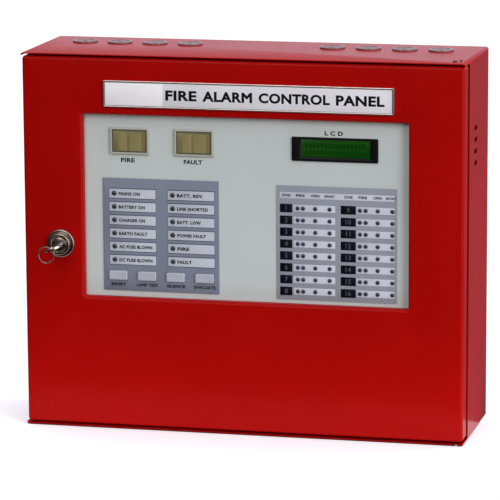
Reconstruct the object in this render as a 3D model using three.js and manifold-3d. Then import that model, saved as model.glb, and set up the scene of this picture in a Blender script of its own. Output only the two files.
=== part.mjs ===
// Fire alarm control panel: a folded steel wall case, a hinged door that carries the facia with its
// lamps, display and push buttons, a cam lock with its key, and the boards, transformer and
// batteries inside.
//
// Millimetres, +Z up. The origin is the centre of the case's back face: the wall is the plane
// Y = 0, the door faces -Y, and +X is to the right of a person who faces the door.

import * as THREE from "three";
import { mergeVertices } from "three/addons/utils/BufferGeometryUtils.js";
import Module from "manifold-3d";

const wasm = await Module();
wasm.setup();

// ---------------------------------------------------------------- driving dimensions

const SHEET = 1.2; // steel sheet of the case and the door
const GAP = 0.3; // clearance between pieces that touch
const LOOSE = 0.6; // clearance between a moving piece and the hole it moves in

const CASE = { width: 440, height: 372, depth: 130, bend: 2.6, sideFront: -105.5 };

const DOOR = { width: 438, height: 365.6, face: -129, flange: 20, bend: 3, corner: 3.4 };

const WINDOW = { left: -159, right: 165, bottom: -54, top: 127, corner: 2, bend: 2, depth: 9 };

const HINGE = { x: 207.5, y: -117, pin: 1.6, hole: 2, collar: 3.2, head: 2.4, proud: 1.6 };
const HINGE_TAIL = { radius: 1.1, hole: 1.4, away: 5 }; // keeps the upper pin from turning

const ENTRY = { hole: 11, y: -40, pitch: 36, inner: 72, perSide: 4, cap: 12.7, rise: 2, sides: 16 };

const VENT = { radius: 2.3, reach: 5.7, y: -70, top: 116.3, pitch: 11.5, count: 4 };

const FACIA = { left: -170, right: 176, bottom: -62, top: 134, front: -119.6, thick: 1.6 };

const OVERLAY = { thick: 0.4 };
const STATUS_PANEL = { left: -141, right: -24, bottom: -48.5, top: 63.5 };
const ZONE_PANEL = { left: 33.5, right: 152.5, bottom: -50.5, top: 62 };

const BUTTON = {
  width: 18.5, height: 9, z: -33.2, first: -125.9, pitch: 29.1, count: 4,
  proud: 2.4, stem: 5, corner: 1.2,
};

const LAMP = { width: 39.6, height: 26.6, z: 100.4, fire: -113.3, fault: -48.5, rim: 2.1, proud: 2.2 };

const LCD = { left: 49, right: 134, bottom: 86.5, top: 110, proud: 2, viewLeft: 58, viewRight: 126.4,
  viewBottom: 90.6, viewTop: 107.6 };

const NAMEPLATE = { left: -136.6, right: 151.4, bottom: 134.7, top: 161.1, rim: 1.6, proud: 2 };

const LOCK = { x: -182, z: -2, barrel: 9, rosette: 14, head: 11, plug: 7, rest: 20, camLength: 28 };

const KEY = { thick: 2.2, blade: 8, bladeLength: 24, bow: 9.5, bowAt: 19, hole: 3.5, holeAt: 23 };

const RING = { radius: 8, wire: 0.75, drop: 4 };

const BOARD = { left: -150, right: 150, bottom: -60, top: 100, thick: 1.6, lift: 10 };

const DISPLAY_BOARD = { front: -110, thick: 1.6 };

const BATTERY = { width: 151, depth: 65, height: 94, left: -200, spacing: 4 };

const FINE = 24; // facets round a visible circle
const COARSE = 12; // facets round a small or hidden circle

// ---------------------------------------------------------------- materials

function material(color, roughness, metalness) {
  return new THREE.MeshStandardMaterial({ color, roughness, metalness });
}

const RED_PAINT = material(0xa50c08, 0.35, 0.1);
const ZINC = material(0xb4b6b8, 0.4, 0.9);
const CHROME = material(0xd8d8d8, 0.12, 1);
const GREY_RUBBER = material(0x8c8c8c, 0.8, 0);
const FACIA_GREY = material(0xb9bcbe, 0.5, 0);
const STATUS_GREY = material(0x78808c, 0.55, 0);
const ZONE_GREY = material(0x969ba5, 0.55, 0);
const WHITE_PLASTIC = material(0xe4e4e2, 0.45, 0);
const BLACK_PLASTIC = material(0x141414, 0.5, 0);
const LENS_PLASTIC = material(0x766e48, 0.25, 0);
const LCD_GREEN = material(0x4f6a1c, 0.3, 0);
const BOARD_GREEN = material(0x14532d, 0.5, 0);
const TERMINAL_GREEN = material(0x2f8f4a, 0.45, 0);
const CORE_STEEL = material(0x5a5c60, 0.6, 0.7);
const WINDING_TAPE = material(0xd8b23a, 0.5, 0);
const BATTERY_BLACK = material(0x1b1c1e, 0.55, 0);
const BRASS = material(0xb5893a, 0.3, 1);
const CABLE_GREY = material(0x55585c, 0.6, 0);

// ---------------------------------------------------------------- solids

// Turns a closed three.js geometry into a solid that can be joined and cut.
function solid(geometry) {
  geometry.deleteAttribute("normal");
  geometry.deleteAttribute("uv");
  const merged = mergeVertices(geometry, 1e-4);
  return new wasm.Manifold(
    new wasm.Mesh({
      numProp: 3,
      vertProperties: merged.attributes.position.array,
      triVerts: new Uint32Array(merged.index.array),
    }),
  );
}

// An upright box between two corners.
function block([x0, y0, z0], [x1, y1, z1]) {
  const box = new THREE.BoxGeometry(x1 - x0, y1 - y0, z1 - z0);
  return solid(box.translate((x0 + x1) / 2, (y0 + y1) / 2, (z0 + z1) / 2));
}

// A round or many-sided rod along Y, from y0 (front) to y1 (back), centred on x, z.
function rodY(radius, y0, y1, x, z, sides = FINE) {
  const rod = new THREE.CylinderGeometry(radius, radius, y1 - y0, sides);
  return solid(rod.translate(x, (y0 + y1) / 2, z));
}

function rodZ(radius, z0, z1, x, y, sides = FINE) {
  const rod = new THREE.CylinderGeometry(radius, radius, z1 - z0, sides).rotateX(Math.PI / 2);
  return solid(rod.translate(x, y, (z0 + z1) / 2));
}

function rodX(radius, x0, x1, y, z, sides = COARSE) {
  const rod = new THREE.CylinderGeometry(radius, radius, x1 - x0, sides).rotateZ(Math.PI / 2);
  return solid(rod.translate((x0 + x1) / 2, y, z));
}

// A hexagonal rod along Y, measured across its flats.
function hexY(acrossFlats, y0, y1, x, z) {
  return rodY(acrossFlats / Math.sqrt(3), y0, y1, x, z, 6);
}

// A rectangle in the X-Z plane with rounded corners.
function roundedRect({ left, right, bottom, top }, corner) {
  const shape = new THREE.Shape();
  shape.moveTo(left + corner, bottom);
  shape.lineTo(right - corner, bottom);
  shape.absarc(right - corner, bottom + corner, corner, -Math.PI / 2, 0);
  shape.lineTo(right, top - corner);
  shape.absarc(right - corner, top - corner, corner, 0, Math.PI / 2);
  shape.lineTo(left + corner, top);
  shape.absarc(left + corner, top - corner, corner, Math.PI / 2, Math.PI);
  shape.lineTo(left, bottom + corner);
  shape.absarc(left + corner, bottom + corner, corner, Math.PI, 1.5 * Math.PI);
  return shape;
}

function grow({ left, right, bottom, top }, by) {
  return { left: left - by, right: right + by, bottom: bottom - by, top: top + by };
}

function centred(width, height, x = 0, z = 0) {
  return { left: x - width / 2, right: x + width / 2, bottom: z - height / 2, top: z + height / 2 };
}

// An X-Z outline made thick along Y, from y0 (front) to y1 (back).
function plate(shape, y0, y1, curveSegments = 2) {
  const extruded = new THREE.ExtrudeGeometry(shape, { depth: y1 - y0, bevelEnabled: false, curveSegments });
  return solid(extruded.rotateX(Math.PI / 2).translate(0, y1, 0));
}

// The same with its front edge turned over by a radius: outwards round for a positive radius, and
// flared for a negative one.
function bentPlate(shape, y0, y1, radius, curveSegments = 2) {
  const bend = Math.abs(radius);
  const extruded = new THREE.ExtrudeGeometry(shape, {
    depth: y1 - y0,
    bevelThickness: bend,
    bevelSize: radius,
    bevelOffset: -Math.max(radius, 0),
    bevelSegments: curveSegments,
    curveSegments,
  });
  const whole = solid(extruded.rotateX(Math.PI / 2).translate(0, y1 + bend, 0));
  const wide = 2 * CASE.width;
  return whole.intersect(block([-wide, y0, -wide], [wide, y1, wide]));
}

// A turned piece: the profile holds [radius, height] pairs, and its axis becomes Z.
function turned(profile, sides = FINE) {
  const points = profile.map(([radius, height]) => new THREE.Vector2(radius, height));
  return new THREE.LatheGeometry(points, sides).rotateX(Math.PI / 2);
}

function turnedZ(profile, x, y, sides) {
  return solid(turned(profile, sides).translate(x, y, 0));
}

// A turned piece along Y: the profile's heights are distances towards the front from Y = 0.
function turnedY(profile, x, z, sides) {
  return solid(turned(profile, sides).rotateX(Math.PI / 2).translate(x, 0, z));
}

// A round cable along a smooth line through the points.
function cable(points, radius, steps) {
  const places = points.map((place) => new THREE.Vector3(...place));
  const curve = new THREE.CatmullRomCurve3(places, false, "centripetal");
  const section = new THREE.Shape();
  section.absarc(0, 0, radius, 0, 2 * Math.PI);
  return new THREE.ExtrudeGeometry(section, { steps, extrudePath: curve, curveSegments: 4 });
}

// ---------------------------------------------------------------- assembly

const panel = new THREE.Group();

function add(name, shape, surface) {
  let geometry = shape;
  if (!shape.isBufferGeometry) {
    const { vertProperties, triVerts } = shape.getMesh();
    geometry = new THREE.BufferGeometry();
    geometry.setAttribute("position", new THREE.BufferAttribute(vertProperties, 3));
    geometry.setIndex(new THREE.BufferAttribute(triVerts, 1));
    geometry.computeVertexNormals();
  }
  const mesh = new THREE.Mesh(geometry, surface);
  mesh.name = name;
  panel.add(mesh);
}

function repeat(count, make) {
  return Array.from({ length: count }, (_, index) => make(index));
}

// ---------------------------------------------------------------- case

const halfWidth = CASE.width / 2;
const halfHeight = CASE.height / 2;
const backInner = -SHEET; // front face of the back sheet

const entryXs = [-1, 1].flatMap((side) =>
  repeat(ENTRY.perSide, (index) => side * (ENTRY.inner + index * ENTRY.pitch)),
);

// A vent is a round-ended slot that runs from front to back through a side of the case.
function ventSlot(z, low, high) {
  const ends = [VENT.y - VENT.reach, VENT.y + VENT.reach];
  const middle = block([low, ends[0], z - VENT.radius], [high, ends[1], z + VENT.radius]);
  return ends.reduce((slot, y) => slot.add(rodX(VENT.radius, low, high, y, z, COARSE)), middle);
}

// One sheet folded round top, sides and floor. The sides stop short of the front, where the door's
// own flanges take over, while top and floor run on over and under the door.
function caseWrapper() {
  const outline = centred(CASE.width, CASE.height);
  const outer = plate(roundedRect(outline, CASE.bend), -CASE.depth, 0);
  const inner = plate(roundedRect(grow(outline, -SHEET), CASE.bend - SHEET), -CASE.depth - 1, 1);
  let wrapper = outer.subtract(inner);
  const sideCut = halfHeight - CASE.bend;
  wrapper = wrapper.subtract(
    block([-halfWidth - 1, -CASE.depth - 1, -sideCut], [halfWidth + 1, CASE.sideFront, sideCut]),
  );
  for (const x of entryXs) {
    wrapper = wrapper.subtract(rodZ(ENTRY.hole, 0, halfHeight + 1, x, ENTRY.y, ENTRY.sides));
  }
  for (const end of [-1, 1]) {
    const [low, high] = [end * (halfHeight + 1), end * (halfHeight - 10)].sort((a, b) => a - b);
    wrapper = wrapper.subtract(rodZ(HINGE.hole, low, high, HINGE.x, HINGE.y, COARSE));
  }
  const [tailX, tailY] = [HINGE.x + HINGE_TAIL.away, HINGE.y + HINGE_TAIL.away];
  wrapper = wrapper.subtract(rodZ(HINGE_TAIL.hole, 0, halfHeight + 1, tailX, tailY, COARSE));
  const slot = { x: 212.5, width: 2.2, length: 6 };
  wrapper = wrapper.subtract(
    block(
      [slot.x - slot.width / 2, -CASE.depth - 1, -halfHeight - 1],
      [slot.x + slot.width / 2, -CASE.depth + slot.length, -halfHeight + SHEET + 1],
    ),
  );
  for (const index of Array(VENT.count).keys()) {
    const z = VENT.top - index * VENT.pitch;
    wrapper = wrapper.subtract(ventSlot(z, -halfWidth - 1, halfWidth + 1));
  }
  return wrapper;
}

// A keyhole drops over a fixed wall screw: a round entry with a narrow slot above it.
function keyhole(x, z) {
  const screwHead = 5;
  const screwShank = 2.6;
  const slotLength = 11;
  const entry = rodY(screwHead, -3, 3, x, z, COARSE);
  const end = rodY(screwShank, -3, 3, x, z + slotLength, COARSE);
  return entry.add(end).add(block([x - screwShank, -3, z], [x + screwShank, 3, z + slotLength]));
}

const FIXING = { x: 185, upper: 146, lower: -75, lowerHole: 3 };

function caseBack() {
  const outline = centred(CASE.width, CASE.height);
  const inset = -SHEET - GAP;
  let back = plate(roundedRect(grow(outline, inset), 1), backInner, 0);
  for (const x of [-FIXING.x, FIXING.x]) {
    back = back.subtract(keyhole(x, FIXING.upper));
    back = back.subtract(rodY(FIXING.lowerHole, -3, 3, x, FIXING.lower, COARSE));
  }
  return back;
}

// The angle inside the left wall that the lock's cam turns behind.
function latchStrip() {
  const leg = 15;
  const wall = -halfWidth + SHEET + GAP;
  const reach = 150;
  const front = CASE.sideFront;
  const lip = block([wall, front, -reach], [wall + leg, front + SHEET, reach]);
  return lip.add(block([wall, front, -reach], [wall + SHEET, front + leg, reach]));
}

// A hinge pin is held in the case sheet and its collar; the door's flange turns on its free end.
const collarTop = halfHeight - SHEET - GAP;
const collarBase = DOOR.height / 2 + GAP;

function hingePin(end) {
  const outside = halfHeight - 0.4;
  const insideEnd = DOOR.height / 2 - 10;
  return turnedZ(
    [
      [0, insideEnd],
      [HINGE.pin * 0.6, insideEnd],
      [HINGE.pin, insideEnd + 1],
      [HINGE.pin, collarBase],
      [HINGE.collar, collarBase],
      [HINGE.collar, collarTop],
      [HINGE.pin, collarTop],
      [HINGE.pin, outside],
      [0, outside],
    ],
    0,
    0,
    COARSE,
  ).rotate([end > 0 ? 0 : 180, 0, 0]).translate([HINGE.x, HINGE.y, 0]);
}

// The upper pin is riveted over above the sheet, and has a tail that comes up beside the rivet.
function upperHingePin() {
  const { head, pin, proud, x, y } = HINGE;
  const { radius, away } = HINGE_TAIL;
  const top = halfHeight + proud;
  const link = block([0, -radius, collarBase], [away * Math.SQRT2, radius, collarTop]);
  return hingePin(1)
    .add(rodZ(pin, halfHeight - 1, top, x, y, COARSE))
    .add(rodZ(head, halfHeight + GAP, top, x, y, COARSE))
    .add(link.rotate([0, 0, 45]).translate([x, y, 0]))
    .add(rodZ(radius, collarBase, top, x + away, y + away, COARSE));
}

// A blanking plug closes one cable entry: a low cap outside, a groove for the sheet, a lip inside.
function entryPlug(x) {
  const sheetTop = halfHeight + GAP;
  const sheetUnder = halfHeight - SHEET - GAP;
  const neck = ENTRY.hole - GAP;
  return turnedZ(
    [
      [0, sheetUnder - 2],
      [neck, sheetUnder - 2],
      [ENTRY.hole + 0.7, sheetUnder],
      [neck, sheetUnder],
      [neck, sheetTop],
      [ENTRY.cap, sheetTop],
      [ENTRY.cap - 0.7, halfHeight + ENTRY.rise],
      [0, halfHeight + ENTRY.rise],
    ],
    x,
    ENTRY.y,
    ENTRY.sides,
  );
}

add("case_wrapper", caseWrapper(), RED_PAINT);
add("case_back", caseBack(), RED_PAINT);
add("latch_strip", latchStrip(), RED_PAINT);
add("hinge_pin_top", upperHingePin(), ZINC);
add("hinge_pin_bottom", hingePin(-1), ZINC);
entryXs.sort((a, b) => a - b).forEach((x, index) => {
  add(`entry_plug_${index + 1}`, entryPlug(x), GREY_RUBBER);
});

// ---------------------------------------------------------------- power supply and main board

const boardBack = backInner - BOARD.lift;
const boardFront = boardBack - BOARD.thick;
const STANDOFF = { inset: 7, hex: 6, stud: 1.5, tip: 3 };

const standoffPlaces = [BOARD.left + STANDOFF.inset, BOARD.right - STANDOFF.inset].flatMap((x) =>
  [BOARD.bottom + STANDOFF.inset, BOARD.top - STANDOFF.inset].map((z) => [x, z]),
);

function mainBoard() {
  let board = block([BOARD.left, boardFront, BOARD.bottom], [BOARD.right, boardBack, BOARD.top]);
  for (const [x, z] of standoffPlaces) {
    board = board.subtract(rodY(STANDOFF.stud + GAP, boardFront - 1, boardBack + 1, x, z, COARSE));
  }
  return board;
}

function standoff([x, z]) {
  const post = hexY(STANDOFF.hex, boardBack + GAP, backInner - GAP, x, z);
  return post.add(rodY(STANDOFF.stud, boardFront - STANDOFF.tip, backInner - 1, x, z, COARSE));
}

// A row of screw terminals on the plane Y = base: a stepped body with one wire pocket for each way.
function terminalBlock({ left, ways, pitch, bottom }, base) {
  const right = left + ways * pitch;
  const tall = 14;
  const deep = 12;
  let body = block([left, base - deep, bottom], [right, base, bottom + tall * 0.6]);
  body = body.add(block([left, base - deep * 0.6, bottom], [right, base, bottom + tall]));
  for (const index of Array(ways).keys()) {
    const x = left + (index + 0.5) * pitch;
    const half = pitch * 0.3;
    const sill = bottom + tall - 3;
    body = body.subtract(
      block([x - half, base - deep * 0.45, sill], [x + half, base - deep * 0.1, bottom + tall + 1]),
    );
  }
  return body;
}

add("main_board", mainBoard(), BOARD_GREEN);
standoffPlaces.forEach((place, index) => add(`board_standoff_${index + 1}`, standoff(place), BRASS));

const onBoard = boardFront - GAP;
const ZONE_TERMINALS = { left: -122, ways: 17, pitch: 10, bottom: 80 };
const OUTPUT_TERMINALS = { left: 66, ways: 7, pitch: 10, bottom: 80 };
const MAINS_TERMINALS = { left: 150, ways: 4, pitch: 12, bottom: -112 };
add("zone_terminal_block", terminalBlock(ZONE_TERMINALS, onBoard), TERMINAL_GREEN);
add("output_terminal_block", terminalBlock(OUTPUT_TERMINALS, onBoard), TERMINAL_GREEN);
add("mains_terminal_block", terminalBlock(MAINS_TERMINALS, backInner - GAP), WHITE_PLASTIC);

// The mains transformer: a laminated core with two windows, and the winding round its middle limb.
const CORE = {
  x: 163, z: -156, width: 57, height: 48, stack: 30, limb: 19, window: 9.5, yoke: 9.5, gap: 14,
};

function transformerCore() {
  const front = backInner - CORE.gap - CORE.stack;
  const rear = backInner - CORE.gap;
  const halfW = CORE.width / 2;
  const halfH = CORE.height / 2;
  let core = block([CORE.x - halfW, front, CORE.z - halfH], [CORE.x + halfW, rear, CORE.z + halfH]);
  for (const side of [-1, 1]) {
    const middle = CORE.x + (side * (CORE.limb + CORE.window)) / 2;
    core = core.subtract(
      block(
        [middle - CORE.window / 2, front - 1, CORE.z - halfH + CORE.yoke],
        [middle + CORE.window / 2, rear + 1, CORE.z + halfH - CORE.yoke],
      ),
    );
    const foot = { inner: halfW - 6, outer: halfW + 9, thick: 2, tall: 14 };
    const xs = [CORE.x + side * foot.inner, CORE.x + side * foot.outer].sort((a, b) => a - b);
    const wall = backInner - GAP;
    core = core.add(
      block([xs[0], wall - foot.thick, CORE.z - foot.tall], [xs[1], wall, CORE.z + foot.tall]),
    );
    const leg = [CORE.x + side * foot.inner, CORE.x + side * halfW].sort((a, b) => a - b);
    core = core.add(block([leg[0], rear - 1, CORE.z - foot.tall], [leg[1], wall, CORE.z + foot.tall]));
  }
  return core;
}

function transformerWinding() {
  const clear = 0.4;
  const halfW = CORE.limb / 2 + CORE.window - clear;
  const halfH = CORE.height / 2 - CORE.yoke - clear;
  const front = backInner - CORE.gap - CORE.stack;
  const rear = backInner - CORE.gap;
  const outer = block(
    [CORE.x - halfW, front - CORE.window, CORE.z - halfH],
    [CORE.x + halfW, rear + CORE.window, CORE.z + halfH],
  );
  const limb = CORE.limb / 2 + clear;
  return outer.subtract(
    block(
      [CORE.x - limb, front - clear, CORE.z - CORE.height],
      [CORE.x + limb, rear + clear, CORE.z + CORE.height],
    ),
  );
}

add("transformer_core", transformerCore(), CORE_STEEL);
add("transformer_winding", transformerWinding(), WINDING_TAPE);

// Two sealed batteries stand side by side on the floor behind a steel retaining bracket.
const floor = -halfHeight + SHEET + GAP;
const batteryBack = backInner - GAP;
const batteryFront = batteryBack - BATTERY.depth;

function battery(index) {
  const left = BATTERY.left + index * (BATTERY.width + BATTERY.spacing);
  const right = left + BATTERY.width;
  const lid = 14;
  const shoulder = 1;
  let body = block([left, batteryFront, floor], [right, batteryBack, floor + BATTERY.height - lid]);
  body = body.add(
    block(
      [left + shoulder, batteryFront + shoulder, floor + 1],
      [right - shoulder, batteryBack - shoulder, floor + BATTERY.height],
    ),
  );
  for (const x of [left + 14, right - 14]) {
    const tab = { half: 3.2, thick: 0.9, tall: 6 };
    const y = batteryFront + 14;
    const top = floor + BATTERY.height;
    body = body.add(block([x - tab.half, y, top - 1], [x + tab.half, y + tab.thick, top + tab.tall]));
  }
  return body;
}

function batteryBracket() {
  const strap = { bottom: -140, top: -118, thick: 1.5, clear: 0.7, foot: 12 };
  const left = BATTERY.left - strap.clear;
  const right = BATTERY.left + 2 * BATTERY.width + BATTERY.spacing + strap.clear;
  const front = batteryFront - strap.clear;
  const wall = backInner - GAP;
  const bar = (x0, x1, y0, y1) => block([x0, y0, strap.bottom], [x1, y1, strap.top]);
  let bracket = bar(left - strap.thick, right + strap.thick, front - strap.thick, front);
  bracket = bracket.add(bar(left - strap.thick, left, front - strap.thick, wall));
  bracket = bracket.add(bar(right, right + strap.thick, front - strap.thick, wall));
  bracket = bracket.add(bar(left - strap.foot, left, wall - strap.thick, wall));
  return bracket.add(bar(right, right + strap.foot, wall - strap.thick, wall));
}

add("battery_1", battery(0), BATTERY_BLACK);
add("battery_2", battery(1), BATTERY_BLACK);
add("battery_bracket", batteryBracket(), ZINC);

// The protective earth stud, with its nut and washer in one turned piece.
const EARTH = { x: 192, z: -82 };
const earthWasher = rodY(6, backInner - GAP - 1.2, backInner - GAP, EARTH.x, EARTH.z, COARSE);
const earthNut = hexY(8, backInner - 6, backInner - 1, EARTH.x, EARTH.z);
const earthThread = rodY(2.5, backInner - 16, backInner - 1, EARTH.x, EARTH.z, COARSE);
add("earth_stud", earthWasher.add(earthNut).add(earthThread), BRASS);

// ---------------------------------------------------------------- door

const doorInner = DOOR.face + SHEET;
const doorRear = DOOR.face + DOOR.flange;

// A pan with four flanges. Its window has a folded-in edge that ends just in front of the facia.
function doorPanel() {
  const outline = centred(DOOR.width, DOOR.height);
  const outer = bentPlate(roundedRect(outline, DOOR.corner), DOOR.face, doorRear, DOOR.bend);
  const inner = bentPlate(
    roundedRect(grow(outline, -SHEET), DOOR.corner - SHEET),
    doorInner,
    doorRear + 1,
    DOOR.bend - SHEET,
  );
  let door = outer.subtract(inner);
  const edge = grow(WINDOW, SHEET);
  door = door.add(plate(roundedRect(edge, WINDOW.corner + SHEET), DOOR.face, DOOR.face + WINDOW.depth));
  const flare = roundedRect(grow(WINDOW, WINDOW.bend), WINDOW.corner + WINDOW.bend);
  door = door.subtract(bentPlate(flare, DOOR.face, doorRear, -WINDOW.bend));
  door = door.subtract(rodY(LOCK.barrel + LOOSE / 2, DOOR.face - 1, doorRear, LOCK.x, LOCK.z));
  const reach = DOOR.height / 2 + 1;
  return door.subtract(rodZ(HINGE.hole, -reach, reach, HINGE.x, HINGE.y, COARSE));
}

function nameplateTrim() {
  const front = DOOR.face - GAP - NAMEPLATE.proud;
  const outer = bentPlate(roundedRect(NAMEPLATE, 1), front, DOOR.face - GAP, 0.6, 1);
  const opening = roundedRect(grow(NAMEPLATE, -NAMEPLATE.rim), 0.6);
  return outer.subtract(plate(opening, front - 1, DOOR.face + 1, 1));
}

function nameplateInsert() {
  const outline = grow(NAMEPLATE, -NAMEPLATE.rim - GAP);
  return plate(roundedRect(outline, 0.5), DOOR.face - GAP - NAMEPLATE.proud + 0.7, DOOR.face - GAP, 1);
}

add("door_panel", doorPanel(), RED_PAINT);
add("nameplate_trim", nameplateTrim(), ZINC);
add("nameplate", nameplateInsert(), WHITE_PLASTIC);

// ---------------------------------------------------------------- facia

const faciaBack = FACIA.front + FACIA.thick;
const overlayBack = FACIA.front - GAP;
const overlayFront = overlayBack - OVERLAY.thick;
const buttonXs = repeat(BUTTON.count, (index) => BUTTON.first + index * BUTTON.pitch);

const studPlaces = [FACIA.left + 5, FACIA.right - 5].flatMap((x) =>
  [FACIA.bottom + 5, FACIA.top - 5].map((z) => [x, z]),
);
const STUD = { thread: 1.5, spacer: 3 };

const lcdFrame = { left: LCD.left, right: LCD.right, bottom: LCD.bottom, top: LCD.top };
const lcdView = {
  left: LCD.viewLeft, right: LCD.viewRight, bottom: LCD.viewBottom, top: LCD.viewTop,
};

function lampOutline(x) {
  return centred(LAMP.width, LAMP.height, x, LAMP.z);
}

function buttonOutline(x) {
  return centred(BUTTON.width, BUTTON.height, x, BUTTON.z);
}

// Cuts square-cornered openings through a flat piece.
function cutThrough(body, outlines, y0, y1) {
  return outlines.reduce(
    (rest, { left, right, bottom, top }) => rest.subtract(block([left, y0, bottom], [right, y1, top])),
    body,
  );
}

const LENS_LIP = 3; // how far a lamp's body is narrower than its bezel
const LCD_LIP = 3; // how far the display module is smaller than its bezel

function faciaPlate() {
  const outline = { left: FACIA.left, right: FACIA.right, bottom: FACIA.bottom, top: FACIA.top };
  const openings = [
    grow(lampOutline(LAMP.fire), -LENS_LIP + GAP),
    grow(lampOutline(LAMP.fault), -LENS_LIP + GAP),
    grow(lcdFrame, -LCD_LIP + GAP),
    ...buttonXs.map((x) => grow(buttonOutline(x), LOOSE / 2)),
  ];
  let facia = cutThrough(
    plate(roundedRect(outline, 3), FACIA.front, faciaBack),
    openings,
    FACIA.front - 1,
    faciaBack + 1,
  );
  for (const [x, z] of studPlaces) {
    facia = facia.subtract(rodY(STUD.thread + GAP, FACIA.front - 1, faciaBack + 1, x, z, COARSE));
  }
  return facia;
}

function overlay(outline, openings) {
  return cutThrough(
    plate(roundedRect(outline, 1), overlayFront, overlayBack),
    openings,
    overlayFront - 1,
    overlayBack + 1,
  );
}

// A threaded stud from the door, with the spacer that holds the facia and the display board apart.
function faciaStud([x, z]) {
  const boardBackFace = DISPLAY_BOARD.front + DISPLAY_BOARD.thick;
  const thread = rodY(STUD.thread, doorInner + GAP, boardBackFace + 6, x, z, COARSE);
  const shoulder = hexY(2 * STUD.spacer, doorInner + GAP, FACIA.front - GAP, x, z);
  const faciaNut = hexY(2 * STUD.spacer, faciaBack + GAP, faciaBack + 3, x, z);
  const boardNut = hexY(2 * STUD.spacer, boardBackFace + GAP, boardBackFace + 3, x, z);
  return thread.add(shoulder).add(faciaNut).add(boardNut);
}

// A lamp bezel is a frame that stands a little proud of the facia; its lens fills the frame and
// reaches back through the facia to the lamps behind.
function lampBezel(x) {
  const front = FACIA.front - LAMP.proud;
  const frame = bentPlate(roundedRect(lampOutline(x), 1.4), front, FACIA.front - GAP, 0.8, 1);
  const opening = roundedRect(grow(lampOutline(x), -LAMP.rim), 0.6);
  return frame.subtract(plate(opening, front - 1, faciaBack, 1));
}

function lampLens(x) {
  const front = FACIA.front - LAMP.proud + 0.6;
  const windowOutline = roundedRect(grow(lampOutline(x), -LAMP.rim - GAP), 0.5);
  const bodyOutline = roundedRect(grow(lampOutline(x), -LENS_LIP), 0.5);
  const window = plate(windowOutline, front, FACIA.front - GAP, 1);
  return window.add(plate(bodyOutline, FACIA.front - 1, faciaBack + 5, 1));
}

function lcdBezel() {
  const front = FACIA.front - LCD.proud;
  const frame = bentPlate(roundedRect(lcdFrame, 1.2), front, FACIA.front - GAP, 0.6, 1);
  return frame.subtract(plate(roundedRect(lcdView, 0.4), front - 1, faciaBack, 1));
}

function lcdModule() {
  const glass = plate(roundedRect(grow(lcdView, -GAP), 0.3), FACIA.front - 1.2, FACIA.front + 1, 1);
  const holder = plate(roundedRect(grow(lcdFrame, -LCD_LIP), 0.8), FACIA.front + 0.2, faciaBack + 5, 1);
  return glass.add(holder);
}

function pushButton(x) {
  const front = overlayFront - BUTTON.proud;
  const cap = bentPlate(roundedRect(buttonOutline(x), BUTTON.corner), front, faciaBack + 1, 0.6, 1);
  const half = BUTTON.stem / 2;
  const stemEnd = faciaBack + 3.2;
  return cap.add(
    block([x - half, faciaBack, BUTTON.z - half], [x + half, stemEnd, BUTTON.z + half]),
  );
}

// The display board carries the button switches, so they are one soldered assembly.
function displayBoard() {
  const { front } = DISPLAY_BOARD;
  const back = front + DISPLAY_BOARD.thick;
  let board = block([FACIA.left, front, FACIA.bottom], [FACIA.right, back, FACIA.top]);
  for (const [x, z] of studPlaces) {
    board = board.subtract(rodY(STUD.thread + GAP, front - 1, back + 1, x, z, COARSE));
  }
  const pad = { half: 3, tall: 2.6 };
  for (const x of buttonXs) {
    board = board.add(
      block(
        [x - pad.half, front - pad.tall, BUTTON.z - pad.half],
        [x + pad.half, front + 1, BUTTON.z + pad.half],
      ),
    );
  }
  return board;
}

add("facia_plate", faciaPlate(), FACIA_GREY);
add(
  "status_overlay",
  overlay(STATUS_PANEL, buttonXs.map((x) => grow(buttonOutline(x), LOOSE / 2))),
  STATUS_GREY,
);
add("zone_overlay", overlay(ZONE_PANEL, []), ZONE_GREY);
add("display_board", displayBoard(), BOARD_GREEN);
studPlaces.forEach((place, index) => add(`facia_stud_${index + 1}`, faciaStud(place), ZINC));
add("fire_lamp_bezel", lampBezel(LAMP.fire), WHITE_PLASTIC);
add("fire_lamp_lens", lampLens(LAMP.fire), LENS_PLASTIC);
add("fault_lamp_bezel", lampBezel(LAMP.fault), WHITE_PLASTIC);
add("fault_lamp_lens", lampLens(LAMP.fault), LENS_PLASTIC);
add("lcd_bezel", lcdBezel(), BLACK_PLASTIC);
add("lcd_module", lcdModule(), LCD_GREEN);
buttonXs.forEach((x, index) => add(`push_button_${index + 1}`, pushButton(x), WHITE_PLASTIC));

const SOUNDER = { x: 0, z: 20, radius: 8, tall: 9 };
const sounderBack = DISPLAY_BOARD.front + DISPLAY_BOARD.thick + GAP;
add(
  "sounder",
  rodY(SOUNDER.radius, sounderBack, sounderBack + SOUNDER.tall, SOUNDER.x, SOUNDER.z, 16),
  BLACK_PLASTIC,
);

// ---------------------------------------------------------------- lock and key

const headFront = DOOR.face - 7.5;
const barrelRear = -104.5;
const camFront = -101.9;
const CAM = { thick: 2, width: 14, boss: 8, tail: 4 };

// A fixed barrel with its rosette and head outside the door; the plug turns in its bore.
function lockBarrel() {
  const bore = LOCK.plug + GAP;
  return turnedY(
    [
      [bore, -barrelRear],
      [LOCK.barrel, -barrelRear],
      [LOCK.barrel, -DOOR.face + GAP],
      [LOCK.rosette, -DOOR.face + GAP],
      [LOCK.rosette, -DOOR.face + 1.3],
      [LOCK.rosette - 1.2, -DOOR.face + 2],
      [LOCK.head, -DOOR.face + 2],
      [LOCK.head, -headFront - 1],
      [LOCK.head - 1, -headFront],
      [bore, -headFront],
      [bore, -barrelRear],
    ],
    LOCK.x,
    LOCK.z,
  );
}

function lockNut() {
  const front = doorInner + GAP;
  const nut = hexY(24, front, front + 3.5, LOCK.x, LOCK.z);
  return nut.subtract(rodY(LOCK.barrel + GAP, front - 1, front + 5, LOCK.x, LOCK.z));
}

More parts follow.
